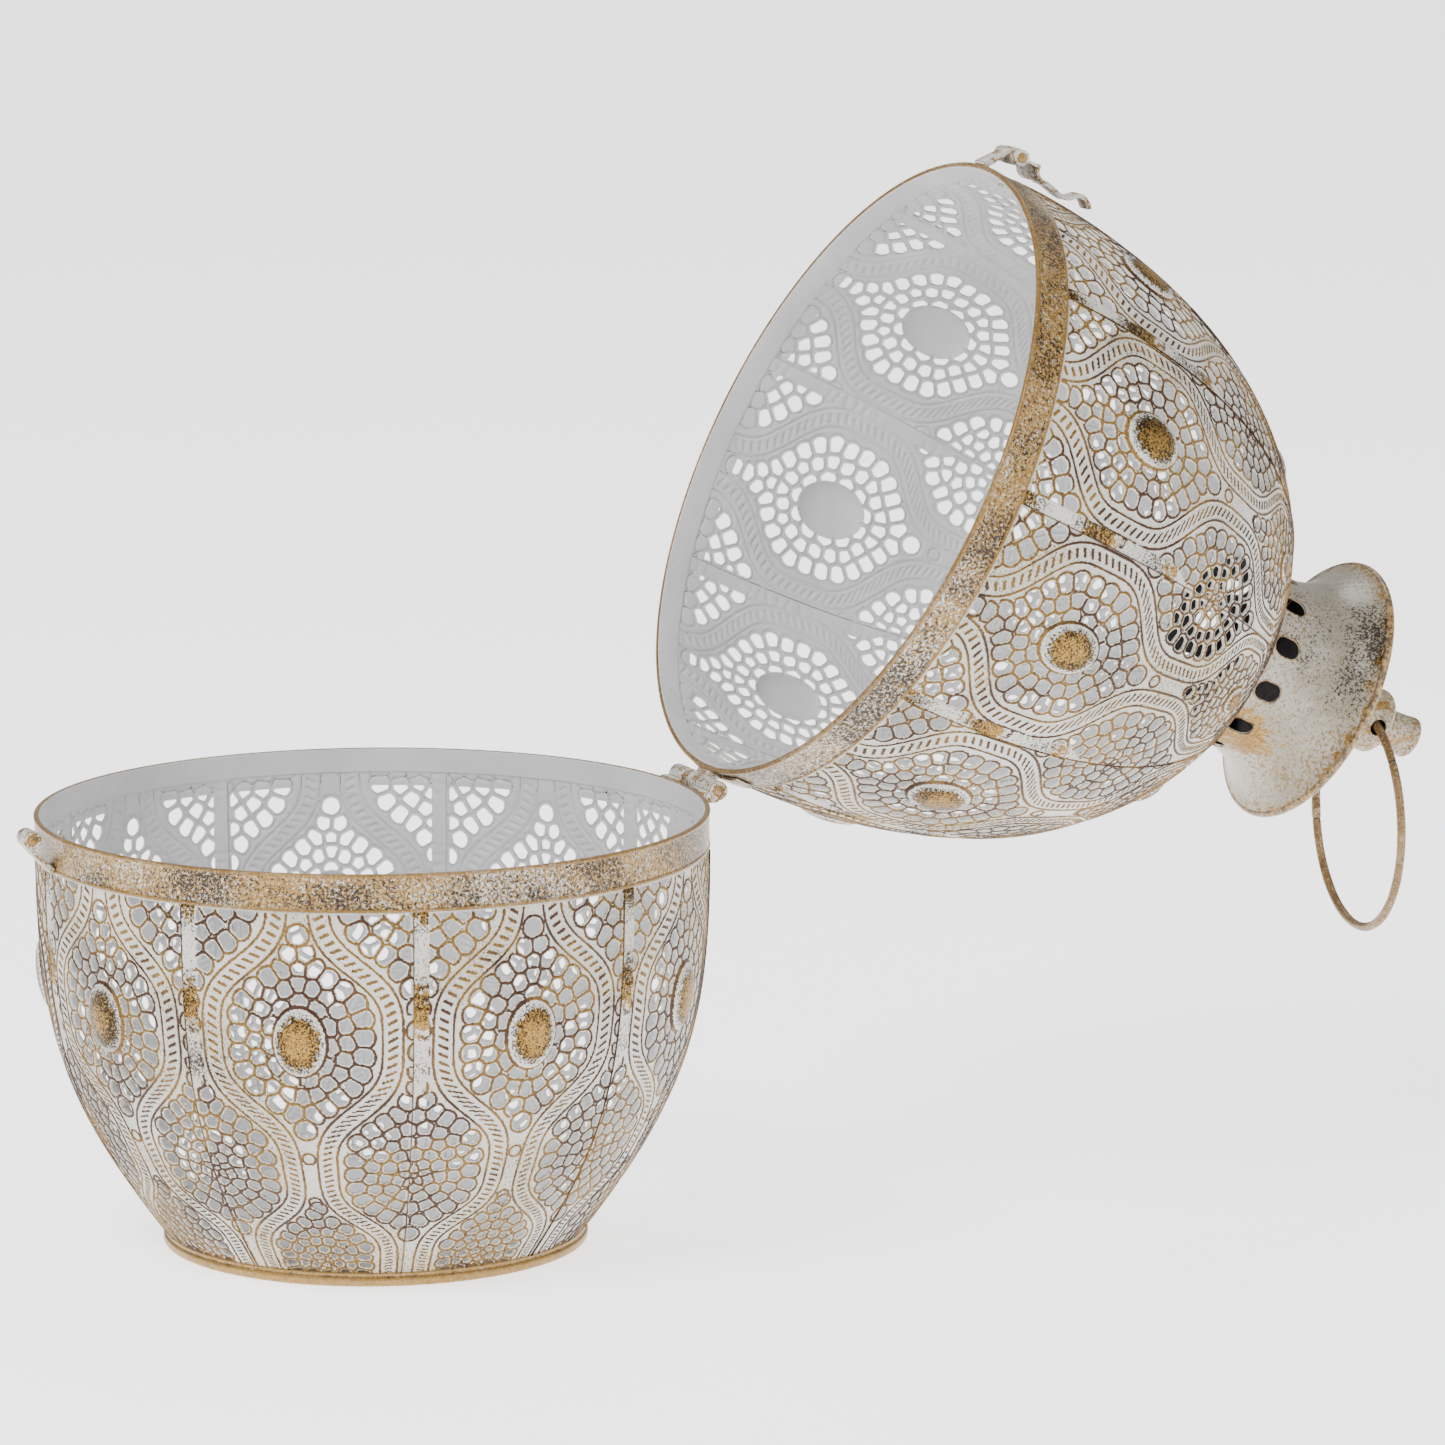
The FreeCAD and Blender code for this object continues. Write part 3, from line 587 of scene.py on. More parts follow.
# ---- the pressed pattern
class Lattice:
    """The ogee lattice pressed into a panel: rope borders round eyes full of cells.

    rows are the places (mm along the outline) where the borders are widest and
    narrowest in turn; middle is the lattice's centre line across the panel."""

    CELL = 6.3
    RING_STEP = 0.93
    LEAN = 1.3
    LIP = 0.85
    CREST = 0.62
    ROPE = 3.6
    MARGIN = 1.7
    DASH_PITCH = 3.3

    def __init__(self, profile, rows, narrow, wide, middle, bosses, loops, flange_left, flange_end):
        self.profile = profile
        self.rows = [row + HIDDEN for row in rows]
        self.narrow = narrow
        self.wide = wide
        self.middle = middle
        self.bosses = bosses
        self.loops = [(at + HIDDEN, radius) for at, radius in loops]
        self.flange_left = flange_left
        self.flange_end = flange_end + HIDDEN
        self.fine = np.linspace(0, profile.length, 600)
        width = self.width(self.fine)
        border = self.border(self.fine) * width
        self.slope = np.gradient(border, self.fine)
        steps = np.hypot(np.diff(border), np.diff(self.fine))
        self.rope_run = np.concatenate([[0], np.cumsum(steps)])
        self.columns = [self.fill(0), self.fill(1)]

    def width(self, along):
        return self.profile.radius(along) * SHARE

    def scale(self, along):
        return np.sqrt(self.width(along) / (PANEL_RADIUS * SHARE))

    def border(self, along):
        """Where the rope runs, as a share of the panel, out from its own column."""
        phase = np.interp(along, self.rows, np.arange(len(self.rows)) * math.pi) - math.pi
        middle = (self.wide + self.narrow) / 2
        return middle + (self.wide - self.narrow) / 2 * np.sin(math.pi / 2 * np.cos(phase))

    def room(self, along, column):
        """Half the width, in mm, that the cells of a column may fill."""
        share = self.border(along)
        if column == 1:
            share = 0.5 - share
        slope = np.interp(along, self.fine, self.slope)
        clear = (self.ROPE + self.MARGIN) * self.scale(along) * np.hypot(1, slope)
        return share * self.width(along) - clear

    def fill(self, column):
        """Centres of a column's cells, spread until each has an even share of room."""
        cells = []
        for number, row in enumerate(self.rows):
            if number % 2 == (1 - column):
                cells.append(self.fill_eye(column, number, row))
        return np.concatenate(cells)

    def fill_eye(self, column, number, row):
        low = self.rows[number - 1] if number > 0 else row - 55
        high = self.rows[number + 1] if number + 1 < len(self.rows) else row + 55
        cell = self.CELL * float(self.scale(np.clip(row, 0, self.profile.length))) ** 1.4
        boss = self.bosses.get(number)

        def inside(x, s):
            room = self.room(s, column) - np.abs(x)
            clear = (room > 0.35 * cell) & (s > max(low, -2.5))
            clear &= s < min(high, self.profile.length + 2)
            if boss is not None:
                clear &= (x / (boss[0] - 0.8)) ** 2 + ((s - row) / (boss[1] - 0.8)) ** 2 > 1
            return clear

        # rings of scales round the middle of the eye, each ring half a scale out of step
        seeds = [(0.0, float(row), 0)] if boss is None else []
        half_width, half_height = boss[:2] if boss is not None else (-0.5 * cell, -0.5 * cell)
        chance = np.random.default_rng(10 * number + column)
        for ring in range(1, 12):
            reach = np.array([half_width, half_height]) + (ring - 0.5) * self.RING_STEP * cell
            around = math.pi * (reach[0] + reach[1])
            pitch = cell * (1.28 if ring == 1 and boss is not None else 1.03)
            count = max(5, int(round(around / pitch)))
            turn = (np.arange(count) + 0.5 * (ring % 2)) / count * 2 * math.pi + math.pi / 2
            ragged = chance.normal(0, 0.05 * cell, (2, count))
            x = reach[0] * np.cos(turn) + ragged[0]
            s = row + reach[1] * np.sin(turn) + ragged[1]
            seeds += [(x[i], s[i], ring) for i in range(count)]
        seeds = np.array(seeds)
        seeds = seeds[inside(seeds[:, 0], seeds[:, 1])]
        rings = seeds[:, 2]
        seeds = seeds[:, :2]
        # each centre moves to the middle of its own share of the eye
        half = self.width(np.clip(row, 0, self.profile.length)) / 2
        x, s = np.meshgrid(np.arange(-half, half + 0.5, 0.8), np.arange(low, high, 0.8))
        keep = inside(x, s)
        sample = np.stack([x[keep], s[keep]], axis=1)
        for _ in range(4):
            gap = ((sample[:, None, :] - seeds[None, :, :]) ** 2).sum(axis=2)
            nearest = gap.argmin(axis=1)
            count = np.bincount(nearest, minlength=len(seeds))
            total = [np.bincount(nearest, places, len(seeds)) for places in sample.T]
            total = np.stack(total, axis=1)
            seeds = np.where(count[:, None] > 0, total / np.maximum(count, 1)[:, None], seeds)
        return np.column_stack([seeds, np.full(len(seeds), cell), self.LEAN * rings])

    def cell_edge(self, x, s, column):
        """Signed distance (mm) from the edge of the nearest cell, positive inside it."""
        cells = self.columns[column]
        gap = np.hypot(x[:, None] - cells[None, :, 0], s[:, None] - cells[None, :, 1])
        score = gap - cells[None, :, 3]
        order = np.argsort(score, axis=1)[:, :6]
        near = np.take_along_axis(gap, order, axis=1)
        score = np.take_along_axis(score, order, axis=1)
        first = cells[order[:, 0]]
        edge = 0.66 * first[:, 2] - near[:, 0]
        edge = soft_minimum(edge, self.room(s, column) - np.abs(x) + 1.1, 0.8)
        for other in range(1, 6):
            second = cells[order[:, other]]
            apart = np.hypot(first[:, 0] - second[:, 0], first[:, 1] - second[:, 1])
            both = np.maximum(2 * near[:, 0] * near[:, other], 0.01)
            turn = np.clip((near[:, 0] ** 2 + near[:, other] ** 2 - apart ** 2) / both, -1, 1)
            # the line between two scales bulges away from the middle of the eye
            border = (score[:, other] - score[:, 0]) / np.maximum(np.sqrt(2 - 2 * turn), 0.35)
            edge = soft_minimum(edge, border, 0.35)
        return edge

    def pattern(self, across, along):
        shape = across.shape
        across = across.ravel()
        along = along.ravel()
        width = self.width(along)
        scale = self.scale(along)
        column = across - self.middle
        column = column - np.round(column)
        side = np.abs(column)
        slope = np.interp(along, self.fine, self.slope)
        rope = (side - self.border(along)) * width / np.hypot(1, slope)
        rope_line = np.abs(rope) - self.ROPE * scale
        # cells of the panel's own column and of the column that the seam cuts
        edge = np.full(len(across), -9.0)
        own = rope < 0
        x = column * width
        edge[own] = self.cell_edge(x[own], along[own], 0)
        seam = ~own
        x_seam = (column - 0.5 * np.sign(column)) * width
        edge[seam] = self.cell_edge(x_seam[seam], along[seam], 1)
        boss_lift = np.zeros(len(across))
        boss_edge = np.full(len(across), 9.0)
        rub = np.zeros(len(across))
        dark = np.zeros(len(across))
        for number, (half_width, half_height, rise) in self.bosses.items():
            reach = np.hypot(x / half_width, (along - self.rows[number]) / half_height)
            dome = rise * np.sqrt(np.clip(1 - reach ** 2, 0, 1))
            boss_lift = np.maximum(boss_lift, dome)
            boss_edge = np.minimum(boss_edge, (reach - 1) * min(half_width, half_height))
            rub = np.maximum(rub, 1.2 * (1 - smooth(reach, 0.4, 1.0)))
            shade = 0.45 + 0.45 * smooth(reach, 0.25, 0.6)
            dark = np.maximum(dark, (1 - smooth(reach, 0.75, 1.0)) * shade)
        edge = np.where(own, np.minimum(edge, boss_edge), edge)
        # flat margins along the side edges, wide where the next panel's flange lies
        flange = across * width if self.flange_left else (1 - across) * width
        other = (1 - across) * width if self.flange_left else across * width
        flange_width = 0.8 + 5.0 * (1 - smooth(along, self.flange_end, self.flange_end + 12))
        metal = np.maximum(self.LIP - edge, np.maximum(flange_width - flange, 0.8 - other))
        # ridges round the cells and along the ropes, and the rope's dashes
        ridge = 1 - smooth(np.abs(edge), 0.1, self.CREST)
        crest = edge.copy()
        nearer = np.abs(rope_line) < np.abs(crest)
        crest[nearer] = rope_line[nearer]
        ridge = np.maximum(ridge, 1 - smooth(np.abs(rope_line), 0.1, self.CREST))
        run = np.interp(along, self.fine, self.rope_run)
        beat = (run / (self.DASH_PITCH * scale) + 0.16 * rope) % 1.0 - 0.5
        dash = 1 - smooth(np.abs(beat), 0.1, 0.24)
        dash = dash * (1 - smooth(np.abs(rope), 1.5 * scale, 2.0 * scale))
        ridge = np.maximum(ridge, 0.8 * dash)
        for at, radius in self.loops:
            loop = np.abs(np.hypot(x, along - at) - radius)
            ridge = np.maximum(ridge, (1 - smooth(loop, 0.1, self.CREST)) * own)
        # no cell lines in the flange, which carries rungs instead
        in_flange = 1 - smooth(flange, flange_width - 0.6, flange_width)
        sway = 0.6 * np.sin(along / 5.3) + 0.35 * np.sin(along / 1.9 + 4.0 * flange / flange_width)
        rung = 1 - smooth(np.abs((along / 4.4 + 0.3 * sway) % 1.0 - 0.5), 0.1, 0.3)
        rung = rung * smooth(flange, 0.7, 1.6) * (0.45 + 0.4 * np.sin(along / 7.0 + 2.0))
        strip = 1 - smooth(along, self.flange_end - 4, self.flange_end + 6)
        inner_ridge = ridge * (1 - in_flange) + 0.7 * rung * in_flange * strip
        ridge = np.maximum(inner_ridge, 1 - smooth(flange, 0.2, 0.55))
        patchy = 0.25 + 0.4 * np.sin(along / 6.0 + 1.0)
        rub = np.maximum(rub, patchy * in_flange * (strip + 0.25))
        dark = np.maximum(dark, (0.5 + 0.35 * np.sin(along / 4.7)) * in_flange * strip)
        shown = smooth(along, HIDDEN + 0.2, HIDDEN + 1.2)
        shown_inside = smooth(along, HIDDEN - BARE, HIDDEN - BARE + 1)
        lift = (0.5 * ridge + boss_lift + 0.35 * in_flange) * shown
        dent = (0.7 * ridge + boss_lift) * shown_inside
        hole = np.where(along < HIDDEN + 1.0, 9.0, metal)
        result = {"hole": hole, "crest": crest, "lift": lift, "dent": dent,
                  "ridge": ridge * shown, "rub": rub, "dark": dark}
        return {name: values.reshape(shape) for name, values in result.items()}


def soft_minimum(first, second, blend):
    share = np.clip(0.5 + 0.5 * (second - first) / blend, 0, 1)
    return second * (1 - share) + first * share - blend * share * (1 - share)


def bowl_profile():
    """From just under the band down to the foot ring."""
    slope = math.radians(52.6)
    foot = FOOT_RADIUS - 1.2
    poles = [(PANEL_RADIUS, BAND_LOW), (PANEL_RADIUS, BAND_LOW - 62.5),
             (foot + 61.0 * math.cos(slope), FOOT_HEIGHT + 61.0 * math.sin(slope)), (foot, FOOT_HEIGHT)]
    return Profile(np.concatenate([[(PANEL_RADIUS, BAND_LOW + HIDDEN)], bezier(poles, 260)]))


def dome_profile():
    """From just over the band up to the neck, in the lid's frame."""
    slope = math.radians(14.0)
    poles = [(PANEL_RADIUS, BAND_HEIGHT), (PANEL_RADIUS, BAND_HEIGHT + 116.0),
             (NECK_RADIUS + 24.0 * math.cos(slope), DOME_HEIGHT - 24.0 * math.sin(slope)),
             (NECK_RADIUS, DOME_HEIGHT)]
    return Profile(np.concatenate([[(PANEL_RADIUS, BAND_HEIGHT - HIDDEN)], bezier(poles, 320)]))


def first_angle(node, to_local=None):
    """Azimuth of the side edge where a panel starts."""
    points = cad_points(node, to_local)
    turn = np.arctan2(points[:, 1], points[:, 0])
    middle = math.atan2(points[:, 1].mean(), points[:, 0].mean())
    return middle + ((turn - middle + math.pi) % (2 * math.pi) - math.pi).min()


def panels(half, body, profile, lattice, place, outside, inside):
    sheet = Sheet(profile, lattice.pattern, SHARE, PANEL_COLUMNS, ROW_STEP, PANEL_THICKNESS)
    to_local = place.inverted()
    for number in range(1, PANELS + 1):
        node = "%s_panel_%d" % (half, number)
        start = first_angle(node, to_local)
        piece = sheet.piece("pierced_" + node, start, place, outside, inside)
        take_over(piece, node, body)


PANEL_COLUMNS = 156
ROW_STEP = 0.5


# ---- turned pieces
def rounded(corners):
    """An outline from (radius, height, round, ridge) corners, with the corners rounded."""
    points = []
    count = len(corners)
    for index, (radius, height, size, ridge) in enumerate(corners):
        here = np.array((radius, height))
        if size == 0:
            points.append((radius, height, ridge))
            continue
        back = np.array(corners[index - 1][:2]) - here
        ahead = np.array(corners[(index + 1) % count][:2]) - here
        start = here + back * min(size / np.hypot(*back), 0.48)
        end = here + ahead * min(size / np.hypot(*ahead), 0.48)
        for share in np.linspace(0, 1, 6):
            point = (1 - share) ** 2 * start + 2 * share * (1 - share) * here + share ** 2 * end
            points.append((*point, ridge))
    return np.array(points)


def turned(name, node, outline, place, body, outside, inside=None, hidden=None, sides=288):
    """A piece turned about the axis of place from an outline of (radius, height, ridge).

    Faces for which hidden(radius, height) holds take the inside material."""
    looped = outline[0][0] > 0.01
    steps = len(outline) if looped else len(outline) - 1
    turn = np.arange(sides) / sides * 2 * math.pi
    radius, height, ridge = outline.T
    points = np.stack([np.outer(np.cos(turn), radius), np.outer(np.sin(turn), radius),
                       np.tile(height, (sides, 1))], axis=2).reshape(-1, 3)
    points = moved(points * MM, place)
    index = np.arange(sides * len(outline)).reshape(sides, len(outline))
    near = index
    far = np.roll(index, -1, axis=0)
    ahead = np.roll(index, -1, axis=1)
    far_ahead = np.roll(far, -1, axis=1)
    quads = np.stack([near, far, far_ahead, ahead], axis=2)[:, :steps].reshape(-1, 4)
    mesh = mesh_from(name, points, [quads], [0])
    along = np.arange(steps + 1) / steps
    across = np.arange(sides + 1) / sides
    u = np.stack([across[:-1], across[1:], across[1:], across[:-1]], axis=1)
    v = np.stack([along[:-1], along[:-1], along[1:], along[1:]], axis=1)
    unwrap_grid(mesh, u, v)
    add_mark(mesh, "ridge", np.tile(ridge, sides))
    if inside is not None:
        middle = [(values + np.roll(values, -1))[:steps] / 2 for values in (radius, height)]
        slots = np.tile(hidden(*middle), sides).astype(np.int32)
        mesh.polygons.foreach_set("material_index", slots)
    mend(mesh, join=1e-7, face_out=True)
    mesh.shade_smooth()
    mesh.set_sharp_from_angle(angle=math.radians(50))
    piece = add_piece(name, mesh, (outside,) if inside is None else (outside, inside))
    take_over(piece, node, body)


def band(node, low, high, place, body):
    """A rim band: a beaded outer wall with a shorter smooth liner behind it."""
    edge = RIM_RADIUS
    wall = RIM_RADIUS - 0.3
    liner = PANEL_RADIUS - PANEL_THICKNESS - 0.35
    behind = PANEL_RADIUS - 0.3
    outer = [(edge - 0.6, low, 0.2, 1), (edge, low + 0.3, 0.3, 1),
             (edge, low + 1.1, 0.3, 1), (wall, low + 1.5, 0.3, 0), (wall, high - 1.5, 0.3, 0),
             (edge, high - 1.1, 0.3, 1), (edge, high - 0.3, 0.3, 1), (edge - 0.6, high, 0.2, 1)]
    if body == "bowl":
        inner = [(liner + 0.4, high, 0.3, 1), (liner, high - 0.4, 0.3, 0),
                 (liner, low + BARE, 0.25, 0), (behind, low + BARE, 0, 0), (behind, low, 0, 0)]
    else:
        inner = [(behind, high, 0, 0), (behind, high - BARE, 0, 0), (liner, high - BARE, 0.25, 0),
                 (liner, low + 0.4, 0.3, 0), (liner + 0.4, low, 0.3, 1)]
    turned("gilt_" + node, node, rounded(outer + inner), place, body, BAND, INSIDE,
           lambda radius, height: radius < liner + 0.2)


def foot():
    inner = FOOT_RADIUS - 4.5
    corners = [(inner, 0, 0.3, 0), (FOOT_RADIUS, 0, 1.6, 1), (FOOT_RADIUS, 3.0, 0.8, 1),
               (FOOT_RADIUS - 0.9, 3.5, 0.4, 0), (FOOT_RADIUS - 0.7, FOOT_HEIGHT, 0.7, 1),
               (inner, FOOT_HEIGHT, 0.3, 0)]
    turned("beaded_foot", "foot_ring", rounded(corners), BOWL_PLACE, "bowl", GILT)
    top = span("base_plate", 2)[1]
    edge = inner - 0.05
    corners = [(0, 0, 0, 0), (edge, 0, 0.3, 0), (edge, top, 1.2, 0), (edge - 5, top, 0.8, 0),
               (edge - 6, top - 0.8, 0.8, 0), (22, top - 0.8, 0.8, 0), (21, top - 0.3, 0.8, 0),
               (0, top - 0.3, 0, 0)]
    turned("dished_base", "base_plate", rounded(corners), BOWL_PLACE, "bowl", INSIDE)


# ---- the vented cap
class Cap:
    """The flared collar with its ring of vents, in the lid's frame."""

    ROLL = 1.5
    VENTS = 12
    VENT_RADIUS = 3.6
    VENT_STRAIGHT = 1.7
    VENT_RISE = 8.25
    BEND = 19.5
    SEAT = 14.4

    def __init__(self):
        self.edge = FLARE_RADIUS - self.ROLL
        self.top = FLARE_TOP - self.ROLL
        low = NECK_FOOT + self.BEND
        rise = self.top - self.ROLL - low
        spread = self.edge - NECK_RADIUS
        straight = np.column_stack([np.full(12, NECK_RADIUS), np.linspace(NECK_FOOT, low, 13)[:-1]])
        poles = [(NECK_RADIUS, low), (NECK_RADIUS, low + 0.45 * rise),
                 (NECK_RADIUS + 0.45 * spread, low + 0.85 * rise), (self.edge, self.top - self.ROLL)]
        flare = bezier(poles, 90)
        self.profile = Profile(np.concatenate([straight, flare]))
        self.vent_middle = DOME_HEIGHT + self.VENT_RISE - NECK_FOOT

    def pattern(self, across, along):
        turn = across * self.VENTS % 1.0 - 0.5
        x = turn * 2 * math.pi * NECK_RADIUS / self.VENTS
        y = np.maximum(np.abs(along - self.vent_middle) - self.VENT_STRAIGHT, 0)
        vent = np.hypot(x, y) - self.VENT_RADIUS
        azimuth = across * 360.0
        bottom = np.exp(-((azimuth - 52) / 24) ** 2)
        side = np.exp(-(((azimuth + 180 - 330) % 360 - 180) / 30) ** 2)
        neck = 1 - smooth(along, 20, 34)
        rim = smooth(along, self.profile.length - 8, self.profile.length)
        lip = 1 - smooth(vent, 0.2, 1.0)
        rub = np.maximum(np.maximum(bottom * neck, 0.5 * rim), 0.42 * bottom)
        dark = np.maximum(0.8 * side * neck, 0.9 * side * smooth(along, 32, 40))
        lift = 0.25 * lip
        return {"hole": vent, "crest": np.full(across.shape, 9.0), "lift": lift, "dent": 0 * lift,
                "ridge": lip, "rub": rub, "dark": dark}

    def build(self):
        sheet = Sheet(self.profile, self.pattern, 2 * math.pi, 504,
                      0.6, 0.6, closed=True)
        # the collar's inside takes the near-black painted shade
        piece = sheet.piece("vented_collar", 0.0, LID_PLACE, CAP, CAP_SHADE)
        take_over(piece, "vent_collar", "lid")
        circle = np.linspace(0, 2 * math.pi, 21)[:-1]
        roll = np.column_stack([self.edge + self.ROLL * np.cos(circle),
                                self.top + self.ROLL * np.sin(circle), np.ones(20)])
        turned("rolled_edge", "vent_collar", roll, LID_PLACE, "lid", CAP)
        low, high = span("crown_plate", 2, TO_LID)
        rim = widest("crown_plate", TO_LID)
        upper = bezier([(rim, low + 0.6), (rim * 0.65, low + 0.35 * (high - low) + 0.6),
                        (self.SEAT + rim * 0.35, high), (self.SEAT, high)], 30)
        top = upper[::-1]
        outline = [(0.0, high, 0)] + [(radius, height, 0) for radius, height in top]
        outline += [(rim, low, 0), (self.SEAT, high - 0.8, 0), (0.0, high - 0.8, 0)]
        # the crown's underside takes the near-black painted shade
        turned("crown", "crown_plate", np.array(outline, dtype=float), LID_PLACE, "lid",
               CAP, CAP_SHADE, lambda radius, height: height < np.interp(radius, *top.T) - 0.2)


# ---- fittings
def softened(node, body, width, face, edge):
    """A CAD piece with its sharp edges rounded and rubbed."""
    mesh = NODES[node].data.copy()
    mesh.name = "soft_" + node
    mesh.materials.clear()
    for layer in list(mesh.uv_layers):
        mesh.uv_layers.remove(layer)
    if mesh.has_custom_normals:
        mesh.attributes.remove(mesh.attributes["custom_normal"])
    shape = bmesh.new()
    shape.from_mesh(mesh)
    bmesh.ops.remove_doubles(shape, verts=shape.verts, dist=1e-6)
    bmesh.ops.dissolve_limit(shape, angle_limit=math.radians(2), verts=shape.verts, edges=shape.edges)
    sharp = [item for item in shape.edges
             if len(item.link_faces) == 2 and item.calc_face_angle() > math.radians(35)]
    bmesh.ops.bevel(shape, geom=sharp, offset=width * MM, segments=2, profile=0.5, affect="EDGES",
                    clamp_overlap=True, material=1)
    shape.to_mesh(mesh)
    shape.free()
    mesh.shade_smooth()
    mesh.set_sharp_from_angle(angle=math.radians(40))
    piece = add_piece("soft_" + node, mesh, (face, edge))
    take_over(piece, node, body)


def carrying_ring():
    """The ring of drawn wire, closed by a sleeve with a lump of solder on it."""
    points = cad_points("carrying_ring")
    centre = (points.max(axis=0) + points.min(axis=0)) / 2
    spread = points - centre
    normal = np.linalg.svd(spread[:: max(1, len(spread) // 4000)], full_matrices=False)[2][2]
    if normal[1] < 0:
        normal = -normal
    wire = np.abs(spread @ normal).max()
    middle = np.linalg.norm(spread, axis=1).max() - wire
    level = np.cross((0, 0, 1.0), normal)
    level /= np.linalg.norm(level)
    if level[0] < 0:
        level = -level
    upright = np.array((0, 0, 1.0))
    rounds, sides = 420, 24
    turn = np.arange(rounds) / rounds * 2 * math.pi
    circle = np.arange(sides) / sides * 2 * math.pi
    # the sleeve lies on the far side, a little under the middle
    off = (turn - math.pi - 0.1 + math.pi) % (2 * math.pi) - math.pi
    arc = off * middle
    sleeve = 0.12 * (1 - smooth(np.abs(arc), 3.4, 3.7))
    nick = -0.28 * np.exp(-((np.abs(arc) - 3.9) / 0.22) ** 2)
    other = (turn - 0.69 + math.pi) % (2 * math.pi) - math.pi
    nick -= 0.2 * np.exp(-(other * middle / 0.25) ** 2)
    flat = 0.05 * np.sin(5 * turn) + 0.04 * np.sin(13 * turn + 1)
    thick = np.repeat((wire - 0.12 + sleeve + nick + flat * 0.6)[:, None], sides, axis=1)
    inward = np.exp(-(((circle - math.pi) / 0.7) ** 2))
    thick = thick + 0.9 * np.outer(np.exp(-((arc + 0.3) / 0.8) ** 2), inward)
    out = np.outer(np.cos(turn), level) + np.outer(np.sin(turn), upright)
    body = (middle + thick * np.cos(circle))[:, :, None] * out[:, None, :]
    body = body + (thick * np.sin(circle))[:, :, None] * normal + centre
    index = np.arange(rounds * sides).reshape(rounds, sides)
    ahead = np.roll(index, -1, axis=0)
    quads = np.stack([index, ahead, np.roll(ahead, -1, axis=1), np.roll(index, -1, axis=1)], axis=2)
    quads = quads.reshape(-1, 4)
    mesh = mesh_from("wire_ring", body.reshape(-1, 3) * MM, [quads], [0])
    u = (np.arange(rounds)[:, None] + np.array((0, 1, 1, 0))) / rounds
    v = (np.arange(sides)[:, None] + np.array((0, 0, 1, 1))) / sides
    unwrap_grid(mesh, u, v)
    mend(mesh, face_out=True)
    mesh.shade_smooth()
    add_mark(mesh, "dark", np.repeat(np.clip(-nick * 5, 0, 1), sides))
    piece = add_piece("wire_ring", mesh, (RING,))
    take_over(piece, "carrying_ring", "ring")


# ---- camera, floor, light
def look(azimuth, elevation):
    """The direction from the object to a camera at these angles (degrees)."""
    turn = math.radians(azimuth)
    rise = math.radians(elevation)
    return Vector((math.sin(turn) * math.cos(rise), -math.cos(turn) * math.cos(rise), math.sin(rise)))


def camera():
    data = bpy.data.cameras.new("camera")
    data.lens = 204.06
    data.sensor_width = 36.0
    data.clip_end = 100.0
    eye = add_object("camera", data)
    back = look(67.10, 10.30)
    aim = Vector((0.0298, 0.1224, 0.1830))
    right = Vector((0, 0, 1)).cross(back).normalized()
    up = back.cross(right)
    turn = Matrix((right, up, back)).transposed().to_4x4()
    roll = Matrix.Rotation(math.radians(-0.063), 4, "Z")
    eye.matrix_world = Matrix.Translation(aim + back * 2.923) @ turn @ roll
    bpy.context.scene.camera = eye


def floor(material):
    bpy.ops.mesh.primitive_circle_add(vertices=96, radius=14.0, fill_type="NGON", location=(0, 0, 0))
    disc = bpy.context.object
    disc.name = "floor"
    disc.data.materials.append(material)


def area_light(name, azimuth, elevation, distance, size, watts, aim):
    data = bpy.data.lights.new(name, "AREA")
    data.shape = "DISK"
    data.size = size
    data.energy = watts
    lamp = add_object(name, data)
    away = look(azimuth, elevation)
    lamp.location = aim + away * distance
    lamp.rotation_euler = away.to_track_quat("Z", "Y").to_euler()


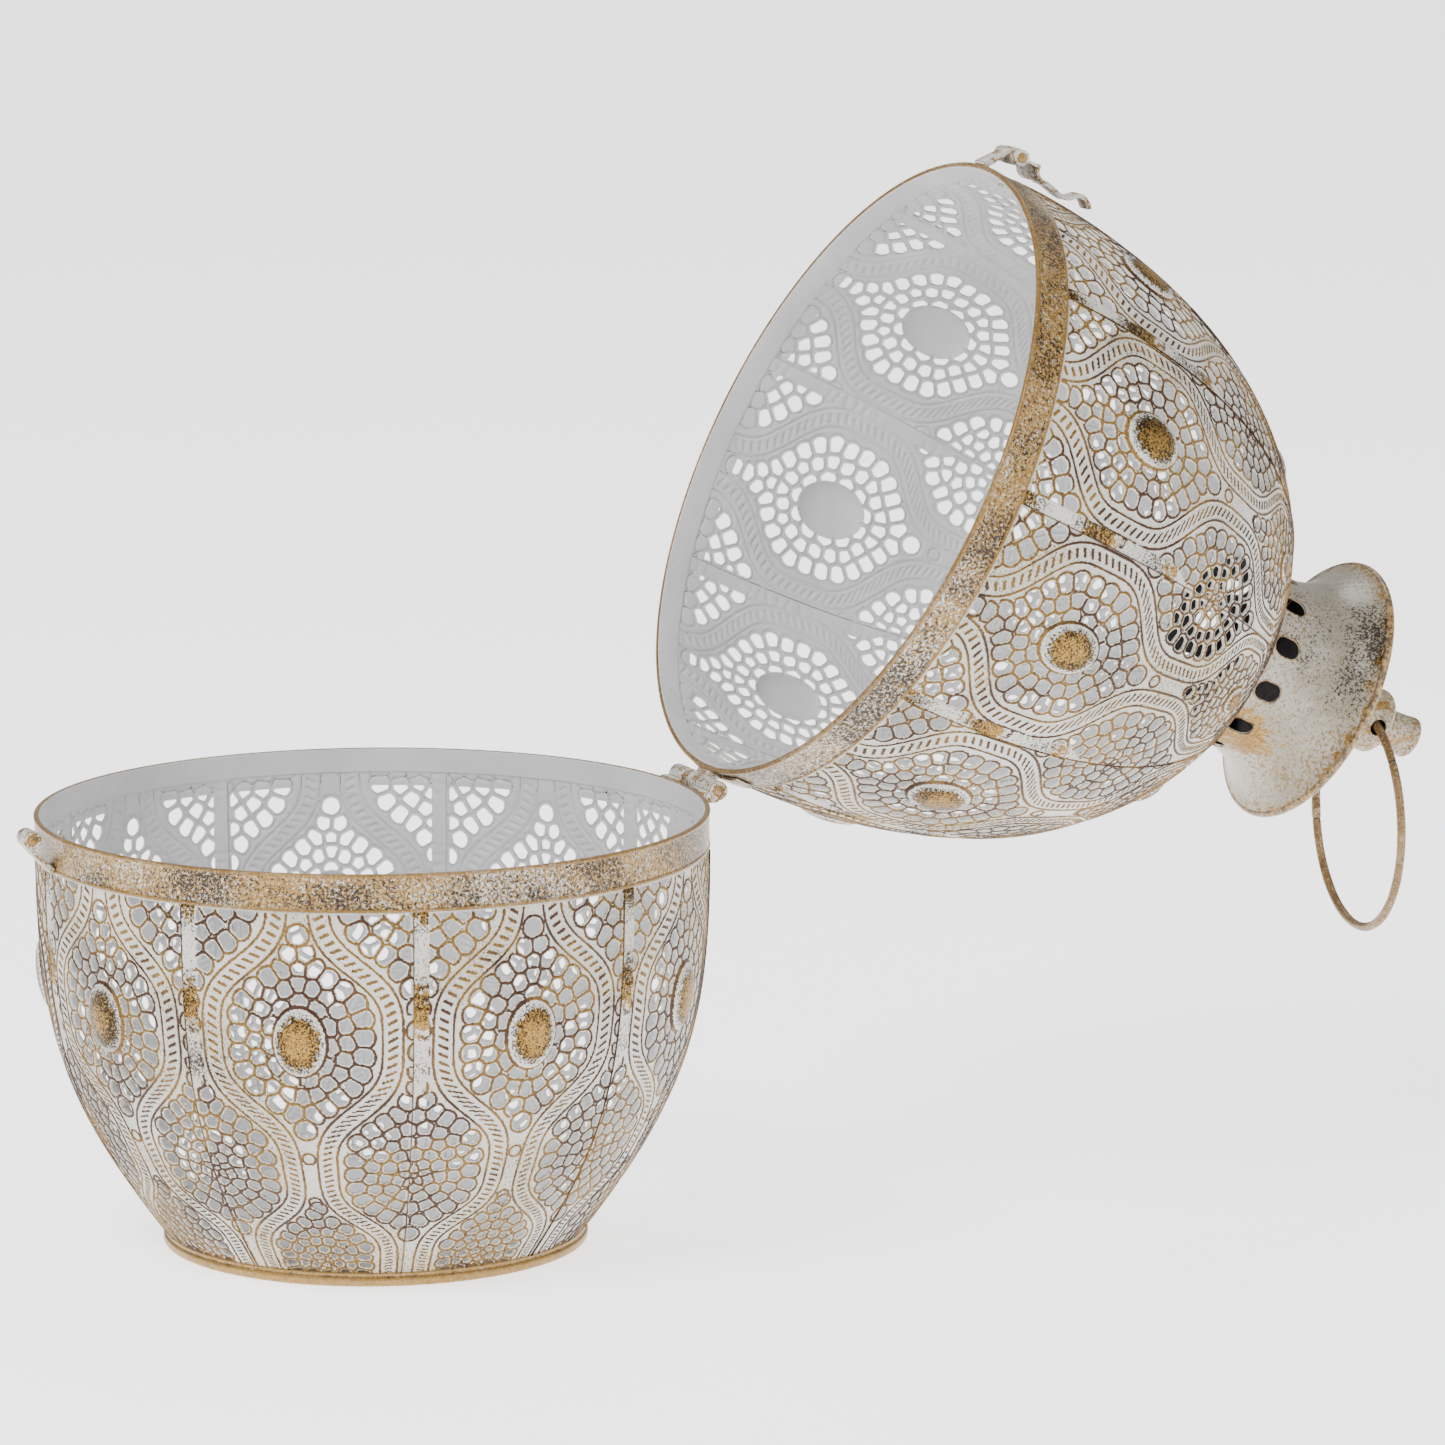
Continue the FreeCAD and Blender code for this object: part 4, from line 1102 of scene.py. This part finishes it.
def light():
    world = bpy.data.worlds.new("studio")
    world.use_nodes = True
    background = world.node_tree.nodes["Background"]
    background.inputs["Color"].default_value = (1.0, 1.0, 1.0, 1.0)
    background.inputs["Strength"].default_value = 0.5
    bpy.context.scene.world = world
    aim = Vector((0.0, 0.15, 0.2))
    area_light("key", 25.0, 50.0, 2.2, 1.0, 44.0, aim)
    area_light("fill", 115.0, 30.0, 2.4, 1.4, 15.0, aim)
    area_light("back", 250.0, 55.0, 2.4, 1.2, 14.0, aim)


# ---- build
camera()
light()
floor(floor_paint())
OUTSIDE = panel_paint()
INSIDE = inner_paint()
BAND = band_paint()
CAP = cap_paint()
FINIAL = cap_paint("finial_paint", 0.45, 0.35)
# near-black painted shade for the inside of the cap
CAP_SHADE = cap_shade_paint()
FITTING = fitting_paint()
GILT = gold_paint()
RING = ring_paint()
BOWL = bowl_profile()
DOME = dome_profile()
bowl_lattice = Lattice(BOWL, rows=[-7.0, 46.0, 99.0, 143.0], narrow=0.087, wide=0.3935,
                       middle=0.5 + 0.9 / 40, bosses={1: (9.6, 12.8, 3.2)},
                       loops=[(91.7, 2.3), (111.6, 2.3)], flange_left=True, flange_end=58.0)
dome_lattice = Lattice(DOME, rows=[-9.0, 43.6, 96.3, 143.0, 178.0], narrow=0.0925, wide=0.418,
                       middle=0.5 - 1.15 / 40, bosses={1: (9.8, 12.6, 3.2), 3: (5.5, 6.5, 2.0)},
                       loops=[(87.3, 2.3), (107.0, 2.0)], flange_left=False, flange_end=70.0)
panels("bowl", "bowl", BOWL, bowl_lattice, BOWL_PLACE, OUTSIDE, INSIDE)
panels("lid", "lid", DOME, dome_lattice, LID_PLACE, OUTSIDE, INSIDE)

band("bowl_rim_band", BAND_LOW, RIM_Z, BOWL_PLACE, "bowl")
band("lid_rim_band", 0.0, BAND_HEIGHT, LID_PLACE, "lid")
foot()
Cap().build()
carrying_ring()
BODY_OF = {node: body for body, nodes in frame["record"]["behaviour"]["bodies"].items() for node in nodes}
for part in frame["record"]["subparts"]:
    node, slot = part["node"], part["material_slot"]
    body = BODY_OF[node]
    if slot == "fittings":
        softened(node, body, 0.22, FITTING, GILT)
    elif slot == "pins":
        softened(node, body, 0.3, GILT, GILT)
softened("finial", "lid", 0.25, FINIAL, GILT)
softened("finial_knob", "lid", 0.3, FINIAL, GILT)
